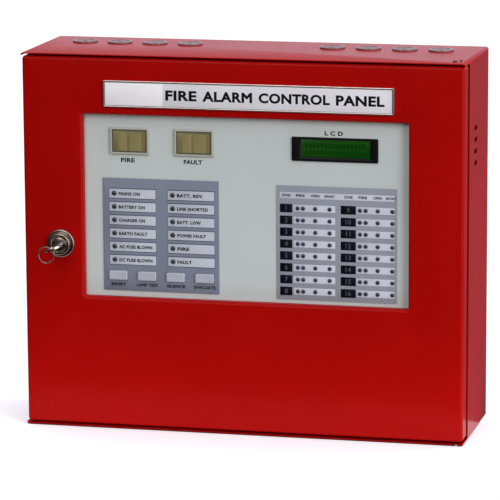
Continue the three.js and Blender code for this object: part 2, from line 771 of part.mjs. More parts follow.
// The turning parts are drawn with the keyway level, then turned together to their rest angle.
function turnedToRest(body) {
  return body
    .translate([-LOCK.x, 0, -LOCK.z])
    .rotate([0, -LOCK.rest, 0])
    .translate([LOCK.x, 0, LOCK.z]);
}

function lockPlug() {
  const keyway = { halfWide: KEY.blade / 2 + GAP, halfThick: KEY.thick / 2 + GAP };
  const front = headFront + 0.5;
  let plug = rodY(LOCK.plug, front, camFront - GAP - 1, LOCK.x, LOCK.z);
  plug = plug.add(rodY(CAM.tail, camFront - 2, camFront + CAM.thick + 4.5, LOCK.x, LOCK.z, COARSE));
  plug = plug.subtract(
    block(
      [LOCK.x - keyway.halfWide, front - 1, LOCK.z - keyway.halfThick],
      [LOCK.x + keyway.halfWide, front + KEY.bladeLength, LOCK.z + keyway.halfThick],
    ),
  );
  return turnedToRest(plug);
}

// The cam stands on the plug's tail, square to the keyway, and turns with it: it points to the left,
// behind the latch strip, when the keyway is upright.
function lockCam() {
  const rear = camFront + CAM.thick;
  let cam = rodY(CAM.boss, camFront, rear, LOCK.x, LOCK.z, 16);
  const tip = LOCK.z + LOCK.camLength;
  cam = cam.add(
    block([LOCK.x - CAM.width / 2, camFront, LOCK.z], [LOCK.x + CAM.width / 2, rear, tip]),
  );
  cam = cam.subtract(rodY(CAM.tail + GAP, camFront - 1, rear + 1, LOCK.x, LOCK.z, COARSE));
  return turnedToRest(cam);
}

function camNut() {
  const front = camFront + CAM.thick + GAP;
  const nut = hexY(13, front, front + 3, LOCK.x, LOCK.z);
  const hole = rodY(CAM.tail + GAP, front - 1, front + 4, LOCK.x, LOCK.z, COARSE);
  return turnedToRest(nut.subtract(hole));
}

// The key lies in one flat plate: blade in the keyway, shoulder, neck, and a round bow with a hole.
const keyShoulder = headFront - 1;

function key() {
  const bow = rodZ(KEY.bow, -KEY.thick / 2, KEY.thick / 2, 0, -KEY.bowAt);
  const neck = block([-3.5, -KEY.bowAt, -KEY.thick / 2], [3.5, 0, KEY.thick / 2]);
  const shoulder = block([-5, -3, -KEY.thick / 2], [5, 0, KEY.thick / 2]);
  const half = KEY.blade / 2;
  const blade = block([-half, -1, -KEY.thick / 2], [half, KEY.bladeLength, KEY.thick / 2]);
  const hole = rodZ(KEY.hole, -KEY.thick, KEY.thick, 0, -KEY.holeAt, 20);
  const whole = bow.add(neck).add(shoulder).add(blade).subtract(hole);
  return turnedToRest(whole.translate([LOCK.x, keyShoulder, LOCK.z]));
}

// The key ring hangs round the bow's web, between the hole and the bow's lower edge.
const webMiddle = (KEY.hole + Math.sqrt(KEY.bow ** 2 - (KEY.holeAt - KEY.bowAt) ** 2)) / 2;
const restAngle = THREE.MathUtils.degToRad(LOCK.rest);
const ringPivot = {
  x: LOCK.x - webMiddle * Math.cos(restAngle),
  y: keyShoulder - KEY.holeAt,
  z: LOCK.z - webMiddle * Math.sin(restAngle),
};

function keyRing() {
  const ring = new THREE.TorusGeometry(RING.radius, RING.wire, 6, FINE).rotateX(Math.PI / 2);
  return solid(ring.translate(ringPivot.x, ringPivot.y, ringPivot.z - RING.drop));
}

add("lock_barrel", lockBarrel(), CHROME);
add("lock_nut", lockNut(), ZINC);
add("lock_plug", lockPlug(), CHROME);
add("lock_cam", lockCam(), ZINC);
add("cam_nut", camNut(), ZINC);
add("key", key(), CHROME);
add("key_ring", keyRing(), CHROME);

// ---------------------------------------------------------------- wiring between case and door

// The loom reaches the door along the hinge line, so opening the door only twists it there: one
// half stays with the case, and the other with the door.
const LOOM = { radius: 2.5, low: -100, meet: -72, high: -44 };

const caseLoom = [
  [140, boardFront - 5, -40],
  [146, -30, -48],
  [164, -42, -72],
  [178, -62, -92],
  [180, -92, LOOM.low],
  [183, -109, LOOM.low],
  [194, -116.4, LOOM.low],
  [204, HINGE.y, LOOM.low + 3.5],
  [HINGE.x, HINGE.y, LOOM.low + 13],
  [HINGE.x, HINGE.y, LOOM.meet],
];

const doorLoom = [
  [HINGE.x, HINGE.y, LOOM.meet + GAP],
  [HINGE.x, HINGE.y, LOOM.high - 9],
  [203.5, -116.4, LOOM.high - 1.5],
  [194, -112, LOOM.high],
  [182, -104, LOOM.high],
  [168, -101.5, LOOM.high + 2],
  [156, -101.2, LOOM.high + 8],
  [148, -101.2, LOOM.high + 20],
];

add("loom_case_side", cable(caseLoom, LOOM.radius, 28), CABLE_GREY);
add("loom_door_side", cable(doorLoom, LOOM.radius, 22), CABLE_GREY);

export default panel;
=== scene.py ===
"""The looks of a wall-hung fire alarm control panel, built in metres round its CAD frame.

The red case, the door with its windowed facia, the lock with its key, and the boards, transformer
and batteries inside are modelled finely here, each in the place that its CAD node has.
"""

import itertools
import math
from collections import namedtuple

import bmesh
import bpy
from mathutils import Matrix, Vector

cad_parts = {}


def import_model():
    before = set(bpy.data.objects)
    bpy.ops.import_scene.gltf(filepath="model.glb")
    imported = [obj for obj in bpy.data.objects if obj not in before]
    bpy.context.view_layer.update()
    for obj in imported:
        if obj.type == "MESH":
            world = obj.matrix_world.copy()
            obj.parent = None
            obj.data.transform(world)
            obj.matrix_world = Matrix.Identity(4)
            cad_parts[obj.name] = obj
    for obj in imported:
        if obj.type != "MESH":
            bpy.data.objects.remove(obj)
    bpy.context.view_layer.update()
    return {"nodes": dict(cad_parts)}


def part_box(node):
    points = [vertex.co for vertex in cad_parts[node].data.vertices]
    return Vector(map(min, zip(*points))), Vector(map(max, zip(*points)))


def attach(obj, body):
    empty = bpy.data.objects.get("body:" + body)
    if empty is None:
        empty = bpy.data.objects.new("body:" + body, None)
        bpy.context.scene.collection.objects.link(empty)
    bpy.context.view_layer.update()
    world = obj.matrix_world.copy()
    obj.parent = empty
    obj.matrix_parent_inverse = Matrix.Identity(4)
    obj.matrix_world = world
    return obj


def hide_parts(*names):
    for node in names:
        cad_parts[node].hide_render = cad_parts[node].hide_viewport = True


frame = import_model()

MM = 0.001  # shapes are described in millimetres, and their meshes are in metres
SHADED_FOOT = -0.18515  # below this height the paint is darkened: a painted shade along the foot, under the door's bottom edge
SHEET = 1.2  # steel sheet of the case and the door
GAP = 0.3  # clearance between pieces that touch

# ---------------------------------------------------------------- places

Box = namedtuple("Box", "left right front back bottom top")
Rect = namedtuple("Rect", "left right bottom top")
Point = namedtuple("Point", "x y z")


def box_of(node):
    return Box(*(edge / MM for pair in zip(*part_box(node)) for edge in pair))


def face_of(box):
    return Rect(box.left, box.right, box.bottom, box.top)


def grow(rect, by):
    return Rect(rect.left - by, rect.right + by, rect.bottom - by, rect.top + by)


def around(x, z, width, height):
    return Rect(x - width / 2, x + width / 2, z - height / 2, z + height / 2)


def middle(box):
    return Point((box.left + box.right) / 2, (box.front + box.back) / 2, (box.bottom + box.top) / 2)


# ---------------------------------------------------------------- mesh code

FRONTWARD = Matrix.Rotation(math.radians(90), 4, "X")  # turns +Z towards the front, -Y
BACKWARD = Matrix.Rotation(math.radians(-90), 4, "X")
SIDEWARD = Matrix.Rotation(math.radians(90), 4, "Y")  # turns +Z towards the right, +X
DOWNWARD = Matrix.Rotation(math.radians(180), 4, "X")


def at(x, y, z, turn=Matrix.Identity(4)):
    """The matrix, in metres, of a place given in millimetres."""
    return Matrix.Translation((x * MM, y * MM, z * MM)) @ turn


def polar(radius, angle):
    return radius * math.cos(angle), radius * math.sin(angle)


def quarter(steps):
    """The angles of a quarter turn."""
    return [math.radians(90 * step / steps) for step in range(steps + 1)]


def circle(radius, height, place, segments):
    """Points in metres round Z at a height, put where place says."""
    angles = [2 * math.pi * index / segments for index in range(segments)]
    return [place @ Vector((*polar(radius * MM, angle), height * MM)) for angle in angles]


def frontward_at(box):
    """A place on the box's axis with Z towards the front, so that a height is a negative y."""
    centre = middle(box)
    return at(centre.x, 0, centre.z, FRONTWARD)


def outline(rect, corner, steps=6):
    """Points of a rounded rectangle in the X-Z plane, anticlockwise from its lower right corner."""
    corner = max(1e-3, min(corner, (rect.right - rect.left) / 2, (rect.top - rect.bottom) / 2))
    inner = grow(rect, -corner)
    centres = (
        (inner.right, inner.bottom), (inner.right, inner.top),
        (inner.left, inner.top), (inner.left, inner.bottom),
    )
    points = []
    for turns, (x, z) in enumerate(centres, -1):
        for angle in quarter(steps):
            across, up = polar(corner, angle + math.radians(90 * turns))
            points.append((x + across, z + up))
    return points


def skin(bm, rings, closed=False):
    """Joins rings of points in metres. A skin that isn't closed on itself gets an end cap each side."""
    rows = [[bm.verts.new(point) for point in ring] for ring in rings]
    pairs = list(zip(rows, rows[1:]))
    if closed:
        pairs.append((rows[-1], rows[0]))
    for near, far in pairs:
        for index, _ in enumerate(near):
            after = (index + 1) % len(near)
            bm.faces.new((near[index], near[after], far[after], far[index]))
    if not closed:
        bm.faces.new(rows[0])
        bm.faces.new(rows[-1])


def loft(bm, rings, closed=False):
    """Joins rings of points in millimetres."""
    skin(bm, [[[MM * value for value in point] for point in ring] for ring in rings], closed)


def moulding(bm, section, closed=True, steps=6):
    """Sweeps a section of (rectangle, corner, y) stations: a frame when closed, a plate when not."""
    loft(bm, [[(x, y, z) for x, z in outline(rect, corner, steps)] for rect, corner, y in section], closed)
    return bm


def inside(rect, stations):
    """Stations from (inset, corner, y)."""
    return [(grow(rect, -inset), corner, y) for inset, corner, y in stations]


def concentric(rect, corner, stations):
    """Stations from (inset, y), with corners that share their centres."""
    return inside(rect, [(inset, corner - inset, y) for inset, y in stations])


def slab(bm, rect, corner, front, back, edge=0.15, steps=6):
    """A flat plate in the X-Z plane with its front and back edges rounded off."""
    soft = 0.3 * edge
    stations = ((edge, back), (0, back - edge), (0, front + edge), (soft, front + soft), (edge, front))
    return moulding(bm, concentric(rect, corner, stations), False, steps)


def lathe(bm, profile, place, segments=40, closed=False):
    """Turns a profile of (radius, height) pairs about Z, then puts it where place says."""
    skin(bm, [circle(radius, height, place, segments) for radius, height in profile], closed)
    return bm


def rod(bm, radius, low, high, place, segments=24, edge=0.2):
    """A round rod from height low to high with its ends rounded off."""
    end = [(radius - edge, 0), (radius - 0.3 * edge, 0.3 * edge), (radius, edge)]
    foot = [(wide, low + rise) for wide, rise in end]
    return lathe(bm, foot + [(wide, high - rise) for wide, rise in reversed(end)], place, segments)


def dome(bm, radius, rise, place, segments=16, steps=4):
    """A shallow dome on a short skirt, closed underneath."""
    curve = [(radius * math.cos(angle), rise * math.sin(angle)) for angle in quarter(steps)]
    lathe(bm, [(radius, -0.2 * rise)] + curve[:-1] + [(radius * 0.02, rise)], place, segments)


ANY_ANGLE = -1  # for soften: flat edges are rounded too


def brick(bm, low, high, edge=0.25, segments=2):
    """A box between two corners, with rounded edges."""
    part = bmesh.new()
    sides = [(MM * near, MM * far) for near, far in zip(low, high)]
    verts = [part.verts.new(corner) for corner in itertools.product(*sides)]
    for quad in ((0, 1, 3, 2), (4, 6, 7, 5), (0, 4, 5, 1), (2, 3, 7, 6), (0, 2, 6, 4), (1, 5, 7, 3)):
        part.faces.new([verts[index] for index in quad])
    if edge:
        soften(part, edge, ANY_ANGLE, segments, clamp=False)
    return merge(bm, part)


def block(bm, x, z, wide, tall, near, far, edge=0.25, segments=2):
    """A box round a centre in the X-Z plane, from near to far in Y."""
    half, rise = wide / 2, tall / 2
    return brick(bm, (x - half, near, z - rise), (x + half, far, z + rise), edge, segments)


def merge(bm, part, place=Matrix.Identity(4)):
    """Adds a finished mesh to bm and frees it."""
    part.transform(place)
    mesh = bpy.data.meshes.new("merge")
    part.to_mesh(mesh)
    part.free()
    bm.from_mesh(mesh)
    bpy.data.meshes.remove(mesh)
    return bm


def soften(bm, width, angle=33, segments=2, clamp=True):
    """Rounds every edge that turns by more than the angle."""
    limit = math.radians(angle)
    edges = [e for e in bm.edges if len(e.link_faces) == 2 and e.calc_face_angle(0) > limit]
    shape = {"segments": segments, "profile": 0.5, "affect": "EDGES", "clamp_overlap": clamp}
    bmesh.ops.bevel(bm, geom=edges, offset=width * MM, **shape)
    return bm


def carved(body, tools):
    """The solid body with the solids in tools cut out of it."""
    made = []
    for source in (body, tools):
        bmesh.ops.remove_doubles(source, verts=source.verts, dist=1e-7)
        bmesh.ops.recalc_face_normals(source, faces=source.faces)
        mesh = bpy.data.meshes.new("carving")
        source.to_mesh(mesh)
        source.free()
        made.append(bpy.data.objects.new("carving", mesh))
        bpy.context.scene.collection.objects.link(made[-1])
    cut = made[0].modifiers.new("cut", "BOOLEAN")
    cut.object = made[1]
    cut.operation = "DIFFERENCE"
    cut.solver = "EXACT"
    solid = made[0].evaluated_get(bpy.context.evaluated_depsgraph_get())
    result = bmesh.new()
    result.from_mesh(solid.to_mesh())
    solid.to_mesh_clear()
    for used in made:
        mesh = used.data
        bpy.data.objects.remove(used)
        bpy.data.meshes.remove(mesh)
    return result


def hexagon(bm, across, low, high, place, bore=0.0, chamfer=0.12):
    """A nut: six flats with turned corners, and a bore if it has one."""
    corner, rise = across / math.sqrt(3), 0.12 * (high - low)
    rings = []
    for height, share in ((low, 1 - chamfer), (low + rise, 1), (high - rise, 1), (high, 1 - chamfer)):
        ring = []
        for index in range(24):
            angle = 2 * math.pi * index / 24
            flat = across / 2 / math.cos((angle % (math.pi / 3)) - math.pi / 6)
            ring.append(place @ Vector((*polar(MM * min(flat, corner * share), angle), MM * height)))
        rings.append(ring)
    if bore:
        rings += [circle(bore, height, place, 24) for height in (high, low)]
    skin(bm, rings, closed=bool(bore))
    return bm


def thread(radius, low, high, pitch, depth):
    """The profile of a screw thread, as rings of crests and roots."""
    count = max(1, round((high - low) / pitch))
    profile = [(radius - depth, low)]
    for index in range(count):
        foot, step = low + index * (high - low) / count, (high - low) / count
        profile += [(radius, foot + 0.5 * step), (radius - depth, foot + step)]
    return profile


# ---------------------------------------------------------------- finishes


def linear(red, green, blue):
    """A linear colour from 0 to 255 display values."""
    channels = (red / 255, green / 255, blue / 255)
    return tuple(c / 12.92 if c <= 0.04045 else ((c + 0.055) / 1.055) ** 2.4 for c in channels) + (1.0,)


def mixed(color, other, share):
    return tuple(a * (1 - share) + b * share for a, b in zip(color, other))


def add_node(tree, kind, inputs=None, **settings):
    """A new shader node, with its settings and with values or links on its inputs."""
    made = tree.nodes.new(kind)
    for key, value in settings.items():
        setattr(made, key, value)
    for key, value in (inputs or {}).items():
        if isinstance(value, bpy.types.NodeSocket):
            tree.links.new(value, made.inputs[key])
        else:
            made.inputs[key].default_value = value
    return made


class Finish:
    """A principled material built up from procedural textures in the piece's own coordinates."""

    def __init__(self, name, **constants):
        self.material = bpy.data.materials.new(name)
        self.material.use_nodes = True
        self.tree = self.material.node_tree
        self.shader = self.tree.nodes["Principled BSDF"]
        for socket, value in constants.items():
            self.shader.inputs[socket.replace("_", " ")].default_value = value
        self.place = self.node("ShaderNodeTexCoord").outputs["Object"]

    def node(self, kind, inputs=None, **settings):
        return add_node(self.tree, kind, inputs, **settings)

    def stretched(self, stretch):
        return self.node("ShaderNodeVectorMath", {0: self.place, 1: stretch}, operation="MULTIPLY").outputs[0]

    def noise(self, per_metre, detail=2.0, stretch=(1, 1, 1), warp=0.0):
        where = self.stretched(stretch)
        inputs = {"Vector": where, "Scale": per_metre, "Detail": detail, "Distortion": warp}
        return self.node("ShaderNodeTexNoise", inputs).outputs[0]

    def cells(self, per_metre, feature="F1", stretch=(1, 1, 1)):
        inputs = {"Vector": self.stretched(stretch), "Scale": per_metre}
        return self.node("ShaderNodeTexVoronoi", inputs, feature=feature).outputs["Distance"]

    def wave(self, per_metre, axis="X", warp=0.0):
        inputs = {"Vector": self.place, "Scale": per_metre, "Distortion": warp}
        return self.node("ShaderNodeTexWave", inputs, bands_direction=axis).outputs[1]

    def remap(self, value, low, high, to_low=0.0, to_high=1.0):
        inputs = {0: value, 1: low, 2: high, 3: to_low, 4: to_high}
        return self.node("ShaderNodeMapRange", inputs).outputs[0]

    def math(self, operation, a, b=0.0):
        return self.node("ShaderNodeMath", {0: a, 1: b}, operation=operation).outputs[0]

    def blend(self, factor, a, b):
        return self.node("ShaderNodeMix", {0: factor, 6: a, 7: b}, data_type="RGBA").outputs[2]

    def edges(self, radius):
        """1 along convex and concave edges, 0 on flat faces."""
        rounded = self.node("ShaderNodeBevel", {"Radius": radius}, samples=4).outputs[0]
        true = self.node("ShaderNodeNewGeometry").outputs["Normal"]
        match = self.node("ShaderNodeVectorMath", {0: rounded, 1: true}, operation="DOT_PRODUCT").outputs[1]
        return self.remap(match, 0.99, 0.86)

    def color(self, socket):
        self.tree.links.new(socket, self.shader.inputs["Base Color"])
        return self

    def rough(self, socket):
        self.tree.links.new(socket, self.shader.inputs["Roughness"])
        return self

    def relief(self, height, depth, strength=1.0):
        """Adds a bump of that real depth on top of the bumps so far."""
        inputs = {"Height": height, "Distance": depth, "Strength": strength}
        normal = self.shader.inputs["Normal"]
        if normal.is_linked:
            inputs["Normal"] = normal.links[0].from_socket
        self.tree.links.new(self.node("ShaderNodeBump", inputs).outputs[0], normal)
        return self


def plastic(name, color, roughness=0.45, drift=0.08, grain=2600, depth=0.02 * MM, worn=0.25, **constants):
    """Moulded plastic: a fine pebbled skin, faint handling marks, and edges rubbed smooth and pale."""
    color = linear(*color)
    made = Finish(name, **constants)
    patches = made.noise(18, 3)
    shaded = made.blend(made.remap(patches, 0.3, 0.7), mixed(color, (0, 0, 0, 1), drift), color)
    rubbed = made.math("MULTIPLY", made.edges(0.5 * MM), worn)
    made.color(made.blend(rubbed, shaded, mixed(color, (0.8, 0.8, 0.8, 1), 0.5)))
    smears = made.noise(55, 4, (1, 1, 0.35))
    made.rough(made.remap(smears, 0.3, 0.75, roughness - 0.07, roughness + 0.1))
    return made.relief(made.noise(grain, 2), depth).material


def metal(name, color, roughness, lines=(1, 1, 1), grain=900, depth=0.01 * MM, tarnish=0.2, **constants):
    """Plated or machined metal: drawn or turned marks, patches of tarnish and bright edges."""
    color = linear(*color)
    made = Finish(name, Metallic=1.0, **constants)
    stain = made.remap(made.noise(40, 5), 0.35, 0.75)
    dark = mixed(color, (0.02, 0.018, 0.015, 1), 0.8)
    dulled = made.blend(made.math("MULTIPLY", stain, tarnish), color, dark)
    made.color(made.blend(made.edges(0.4 * MM), dulled, mixed(color, (1, 1, 1, 1), 0.25)))
    marks = made.noise(grain, 3, lines)
    made.rough(made.remap(marks, 0.25, 0.75, roughness * 0.75, roughness * 1.3))
    return made.relief(marks, depth).material


def red_enamel():
    """Baked enamel: orange peel, a faint drift in colour, fine dust, thin paint, and a painted shade that
    darkens the foot.
    """
    made = Finish("red_enamel", Specular_IOR_Level=0.055)
    base = linear(167, 10, 7)
    drift = made.remap(made.noise(7, 3), 0.3, 0.7)
    shaded = made.blend(drift, linear(159, 9, 6), base)
    thin = made.blend(made.math("MULTIPLY", made.edges(0.7 * MM), 0.08), shaded, linear(196, 50, 40))
    dust = made.remap(made.noise(30, 2), 0.5, 0.7)
    specks = made.math("MULTIPLY", made.remap(made.cells(420), 0.06, 0.02), dust)
    dusty = made.blend(made.math("MULTIPLY", specks, 0.25), thin, linear(120, 30, 24))
    # painted shade: the colour goes near black along the bottom edge, standing for the shadow under the door
    height = made.node("ShaderNodeSeparateXYZ", {0: made.place}).outputs[2]
    foot = made.remap(height, SHADED_FOOT + 0.2 * MM, SHADED_FOOT, 0.0, 0.85)
    made.color(made.blend(foot, dusty, linear(24, 6, 6)))
    made.rough(made.remap(made.noise(9, 3), 0.3, 0.75, 0.24, 0.29))
    made.relief(made.noise(330, 2), 0.03 * MM, 0.35)
    return made.relief(made.noise(1500, 2), 0.012 * MM, 0.7).material


def printed(name, color, roughness=0.5):
    """Screen-printed polyester film: a matt texture, a slight halftone drift and rubbed patches."""
    color = linear(*color)
    made = Finish(name, Specular_IOR_Level=0.15)
    bright = max(color[:3])
    drift = made.remap(made.noise(26, 3), 0.3, 0.7)
    shaded = made.blend(drift, mixed(color, (0, 0, 0, 1), 0.07), mixed(color, (1, 1, 1, 1), 0.03 * bright))
    halftone = made.remap(made.cells(2400), 0.2, 0.5, 0.0, 0.06)
    made.color(made.blend(halftone, shaded, mixed(color, (1, 1, 1, 1), 0.5 * bright)))
    made.rough(made.remap(made.noise(60, 4, (0.4, 1, 1)), 0.3, 0.75, roughness - 0.06, roughness + 0.08))
    return made.relief(made.noise(3200, 1), 0.012 * MM).material


def solder_mask():
    """A circuit board: green mask over raised copper tracks, with bare edges of glass cloth."""
    made = Finish("solder_mask", Coat_Weight=0.3, Coat_Roughness=0.15)
    across = made.remap(made.wave(155, "X", 0.6), 0.42, 0.5)
    upright = made.remap(made.wave(120, "Z", 0.9), 0.42, 0.5)
    choose = made.remap(made.noise(38, 0), 0.48, 0.5)
    tracks = made.node("ShaderNodeMix", {0: choose, 2: across, 3: upright}).outputs[0]
    made.color(made.blend(tracks, linear(9, 66, 34), linear(24, 104, 56)))
    made.rough(made.remap(made.noise(90, 4), 0.3, 0.7, 0.22, 0.38))
    made.relief(tracks, 0.05 * MM, 0.7)
    return made.relief(made.noise(1900, 2), 0.01 * MM).material


def laminations():
    """The edges of stacked steel stampings under brown varnish."""
    made = Finish("laminations", Metallic=0.6)
    leaves = made.wave(320, "Y", 0.1)
    stain = made.remap(made.noise(60, 4), 0.35, 0.7)
    dark = made.blend(stain, linear(70, 66, 62), linear(44, 38, 34))
    made.color(made.blend(made.remap(leaves, 0.3, 0.9, 0.0, 0.6), dark, linear(128, 126, 122)))
    made.rough(made.remap(made.noise(200, 3), 0.3, 0.7, 0.38, 0.6))
    return made.relief(leaves, 0.08 * MM).material


def winding_tape():
    """Yellow polyester tape wound round the coil, with the lap of each turn showing."""
    made = Finish("winding_tape", Coat_Weight=0.4, Coat_Roughness=0.15)
    laps = made.wave(30, "Z", 0.3)
    made.color(made.blend(made.remap(laps, 0.1, 0.6), linear(170, 124, 30), linear(222, 182, 62)))
    made.rough(made.remap(made.noise(120, 3), 0.3, 0.7, 0.2, 0.36))
    made.relief(made.remap(laps, 0.0, 0.15), 0.12 * MM)
    return made.relief(made.noise(700, 2, (1, 1, 4)), 0.03 * MM).material


def braid():
    """Braided cable sleeve."""
    made = Finish("cable_sleeve", Sheen_Weight=0.2)
    weave = made.cells(1050, "F1", (1, 1, 0.6))
    made.color(made.blend(made.remap(weave, 0.1, 0.6), linear(96, 99, 104), linear(40, 42, 46)))
    made.rough(made.remap(made.noise(300, 2), 0.3, 0.7, 0.5, 0.75))
    return made.relief(made.math("SUBTRACT", 1.0, weave), 0.25 * MM).material


def smoky_lens(name, color):
    """Smoky amber acrylic with a faint haze and moulded flow lines."""
    color = linear(*color)
    made = Finish(name, Coat_Weight=0.3, Coat_Roughness=0.1)
    haze = made.remap(made.noise(80, 2, (1, 1, 0.25)), 0.3, 0.7)
    made.color(made.blend(haze, mixed(color, (0, 0, 0, 1), 0.16), color))
    made.rough(made.remap(made.noise(60, 2), 0.3, 0.7, 0.22, 0.3))
    return made.relief(made.noise(500, 1), 0.004 * MM).material


def lcd_glass():
    """The display's dark green polariser, slightly uneven."""
    made = Finish("lcd_glass", Specular_IOR_Level=0.1)
    drift = made.remap(made.noise(30, 2, (0.5, 1, 1.6)), 0.3, 0.7)
    made.color(made.blend(drift, linear(8, 66, 10), linear(30, 76, 16)))
    made.rough(made.remap(made.noise(150, 3), 0.3, 0.7, 0.12, 0.26))
    return made.relief(made.noise(1400, 1), 0.006 * MM).material


RED = red_enamel()
ZINC = metal("zinc_plate", (186, 188, 190), 0.36, (1, 1, 1), 160, 0.012 * MM, 0.18)
PIN = metal("dark_zinc", (104, 62, 60), 0.42, (1, 1, 1), 400, 0.012 * MM, 0.3)
CHROME = metal("chrome_plate", (150, 136, 124), 0.26, (1, 1, 1), 1400, 0.006 * MM, 0.45)
STEEL = metal("key_steel", (206, 194, 184), 0.24, (6, 1, 1), 700, 0.01 * MM, 0.3)
BRASS = metal("machined_brass", (178, 138, 66), 0.28, (1, 1, 8), 600, 0.008 * MM, 0.3)
ALUMINIUM = metal("satin_aluminium", (188, 172, 168), 0.34, (0.15, 1, 1), 1500, 0.01 * MM, 0.12)
TINNED = metal("tinned_lead", (196, 196, 192), 0.3, (1, 1, 1), 900, 0.01 * MM, 0.2)
RUBBER = plastic("entry_rubber", (122, 82, 84), 0.3, 0.12, 1500, 0.01 * MM, 0.1)
FACIA = plastic("facia_skin", (197, 204, 200), 0.48, 0.03, 3000, 0.012 * MM, 0.1)
STATUS = printed("status_print", (122, 128, 144))
ZONE = printed("zone_print", (146, 150, 160))
LABEL = printed("label_print", (190, 194, 203), 0.42)
STRIP = printed("strip_print", (202, 205, 216), 0.42)
SIGN = printed("sign_print", (224, 221, 224), 0.38)
PATCH = printed("patch_print", (246, 242, 244), 0.38)
INK = printed("black_print", (10, 10, 14), 0.5)
TILE = printed("tile_print", (6, 7, 14), 0.42)
SHADE = printed("shadow_print", (82, 88, 104), 0.5)
DIGIT = printed("digit_print", (78, 80, 92), 0.5)
WHITE = plastic("white_plastic", (178, 180, 190), 0.36, 0.05, 2600, 0.01 * MM, 0.15)
IVORY = plastic("bezel_ivory", (176, 175, 162), 0.42, 0.05, 2600, 0.01 * MM, 0.15)
BLACK = plastic("black_plastic", (15, 14, 18), 0.42, 0.2, 2400, 0.02 * MM, 0.05, Specular_IOR_Level=0.12)
CASING = plastic("battery_casing", (36, 37, 40), 0.5, 0.2, 1300, 0.03 * MM, 0.12)
TERMINAL = plastic("terminal_green", (38, 130, 66), 0.42, 0.15)
CERAMIC = plastic("component_beige", (190, 168, 128), 0.5, 0.15)
RESIN = plastic("component_black", (28, 28, 30), 0.5, 0.2)
RELAY = plastic("relay_blue", (36, 66, 120), 0.4, 0.12)
SLEEVE = plastic("capacitor_sleeve", (30, 44, 92), 0.32, 0.12)
POST_RED = plastic("terminal_red", (176, 24, 18), 0.4, 0.12)
LED = plastic("led_dark", (44, 42, 56), 0.22, 0.3, 3000, 0.004 * MM, 0.0, Coat_Weight=0.3)
BOARD = solder_mask()
CORE = laminations()
TAPE = winding_tape()
BRAID = braid()
LENS = smoky_lens("lens_amber", (130, 120, 78))
FLUTE = smoky_lens("lens_flute", (148, 136, 92))
LCD = lcd_glass()
CELLS = plastic("lcd_cells", (14, 64, 11), 0.22, 0.15, 1400, 0.004 * MM, 0.0, Specular_IOR_Level=0.1)
# dark ring round each sunk lamp lens: painted shade for the recess inside the bezel
LENS_SHADE_RING = plastic("lens_shade_ring", (84, 82, 62), 0.5, 0.2)

# ---------------------------------------------------------------- pieces

SHARP = 38  # degrees: a sharper edge is shaded as an edge


def piece(name, bm, body, surface, stands_for=(), sharp=SHARP):
    """Makes a mesh into a piece that rides on a body and stands for its CAD nodes."""
    bmesh.ops.remove_doubles(bm, verts=bm.verts, dist=2e-7)
    bmesh.ops.recalc_face_normals(bm, faces=bm.faces)
    mesh = bpy.data.meshes.new(name)
    bm.to_mesh(mesh)
    bm.free()
    mesh.materials.append(surface)
    mesh.shade_smooth()
    mesh.set_sharp_from_angle(angle=math.radians(sharp))
    made = bpy.data.objects.new(name, mesh)
    bpy.context.scene.collection.objects.link(made)
    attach(made, body)
    if stands_for:
        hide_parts(*stands_for)


def refined(node, width=0.25):
    """A CAD node's solid with its flats joined up and its edges rounded."""
    bm = bmesh.new()
    bm.from_mesh(frame["nodes"][node].data)
    bmesh.ops.remove_doubles(bm, verts=bm.verts, dist=2e-6)
    bmesh.ops.dissolve_limit(bm, angle_limit=math.radians(1), verts=bm.verts, edges=bm.edges)
    return soften(bm, width)


def refined_piece(name, node, width, body, surface):
    piece(name, refined(node, width), body, surface, [node])


def lettering(name, lines, y, surface, bold):
    """Raised print on the door's plane y, from lines of (words, x, z, height, width).
    A width of 0 keeps the letters' shape. A bevel swells every outline, which makes the strokes bold."""
    thick = 0.03
    holders = []
    for words, *_ in lines:
        curve = bpy.data.curves.new("letters", "FONT")
        curve.body = words
        curve.size = 1.0
        curve.space_character = 1.0 + 1.6 * bold
        curve.bevel_depth = bold
        curve.bevel_resolution = 0
        curve.resolution_u = 3
        holder = bpy.data.objects.new("letters", curve)
        bpy.context.scene.collection.objects.link(holder)
        holders.append(holder)
    graph = bpy.context.evaluated_depsgraph_get()
    bm = bmesh.new()
    for holder, (_, x, z, height, width) in zip(holders, lines):
        part = bmesh.new()
        part.from_mesh(holder.evaluated_get(graph).to_mesh())
        spans = [(min(values), max(values)) for values in zip(*(v.co for v in part.verts))]
        size = [high - low for low, high in spans]
        tall = height / size[1]
        wide = width / size[0] if width else tall
        part.transform(Matrix.Translation([-(low + high) / 2 for low, high in spans[:2]] + [0]))
        part.transform(Matrix.Diagonal((wide * MM, tall * MM, 2 * thick * MM / size[2], 1)))
        merge(bm, part, at(x, y, z, FRONTWARD))
        curve = holder.data
        bpy.data.objects.remove(holder)
        bpy.data.curves.remove(curve)
    piece(name, bm, "door", surface)


# ---------------------------------------------------------------- case

case = box_of("case_wrapper")
door = box_of("door_panel")
CASE_BEND = 2.6
SIDE_FRONT = -105.5
PLUG = 11  # radius of a cable entry hole
HINGE = Point(207.5, -117, 0)
PIN_HOLE = 2
PIN_TAIL = 5  # how far right of the upper pin and behind it its tail stands


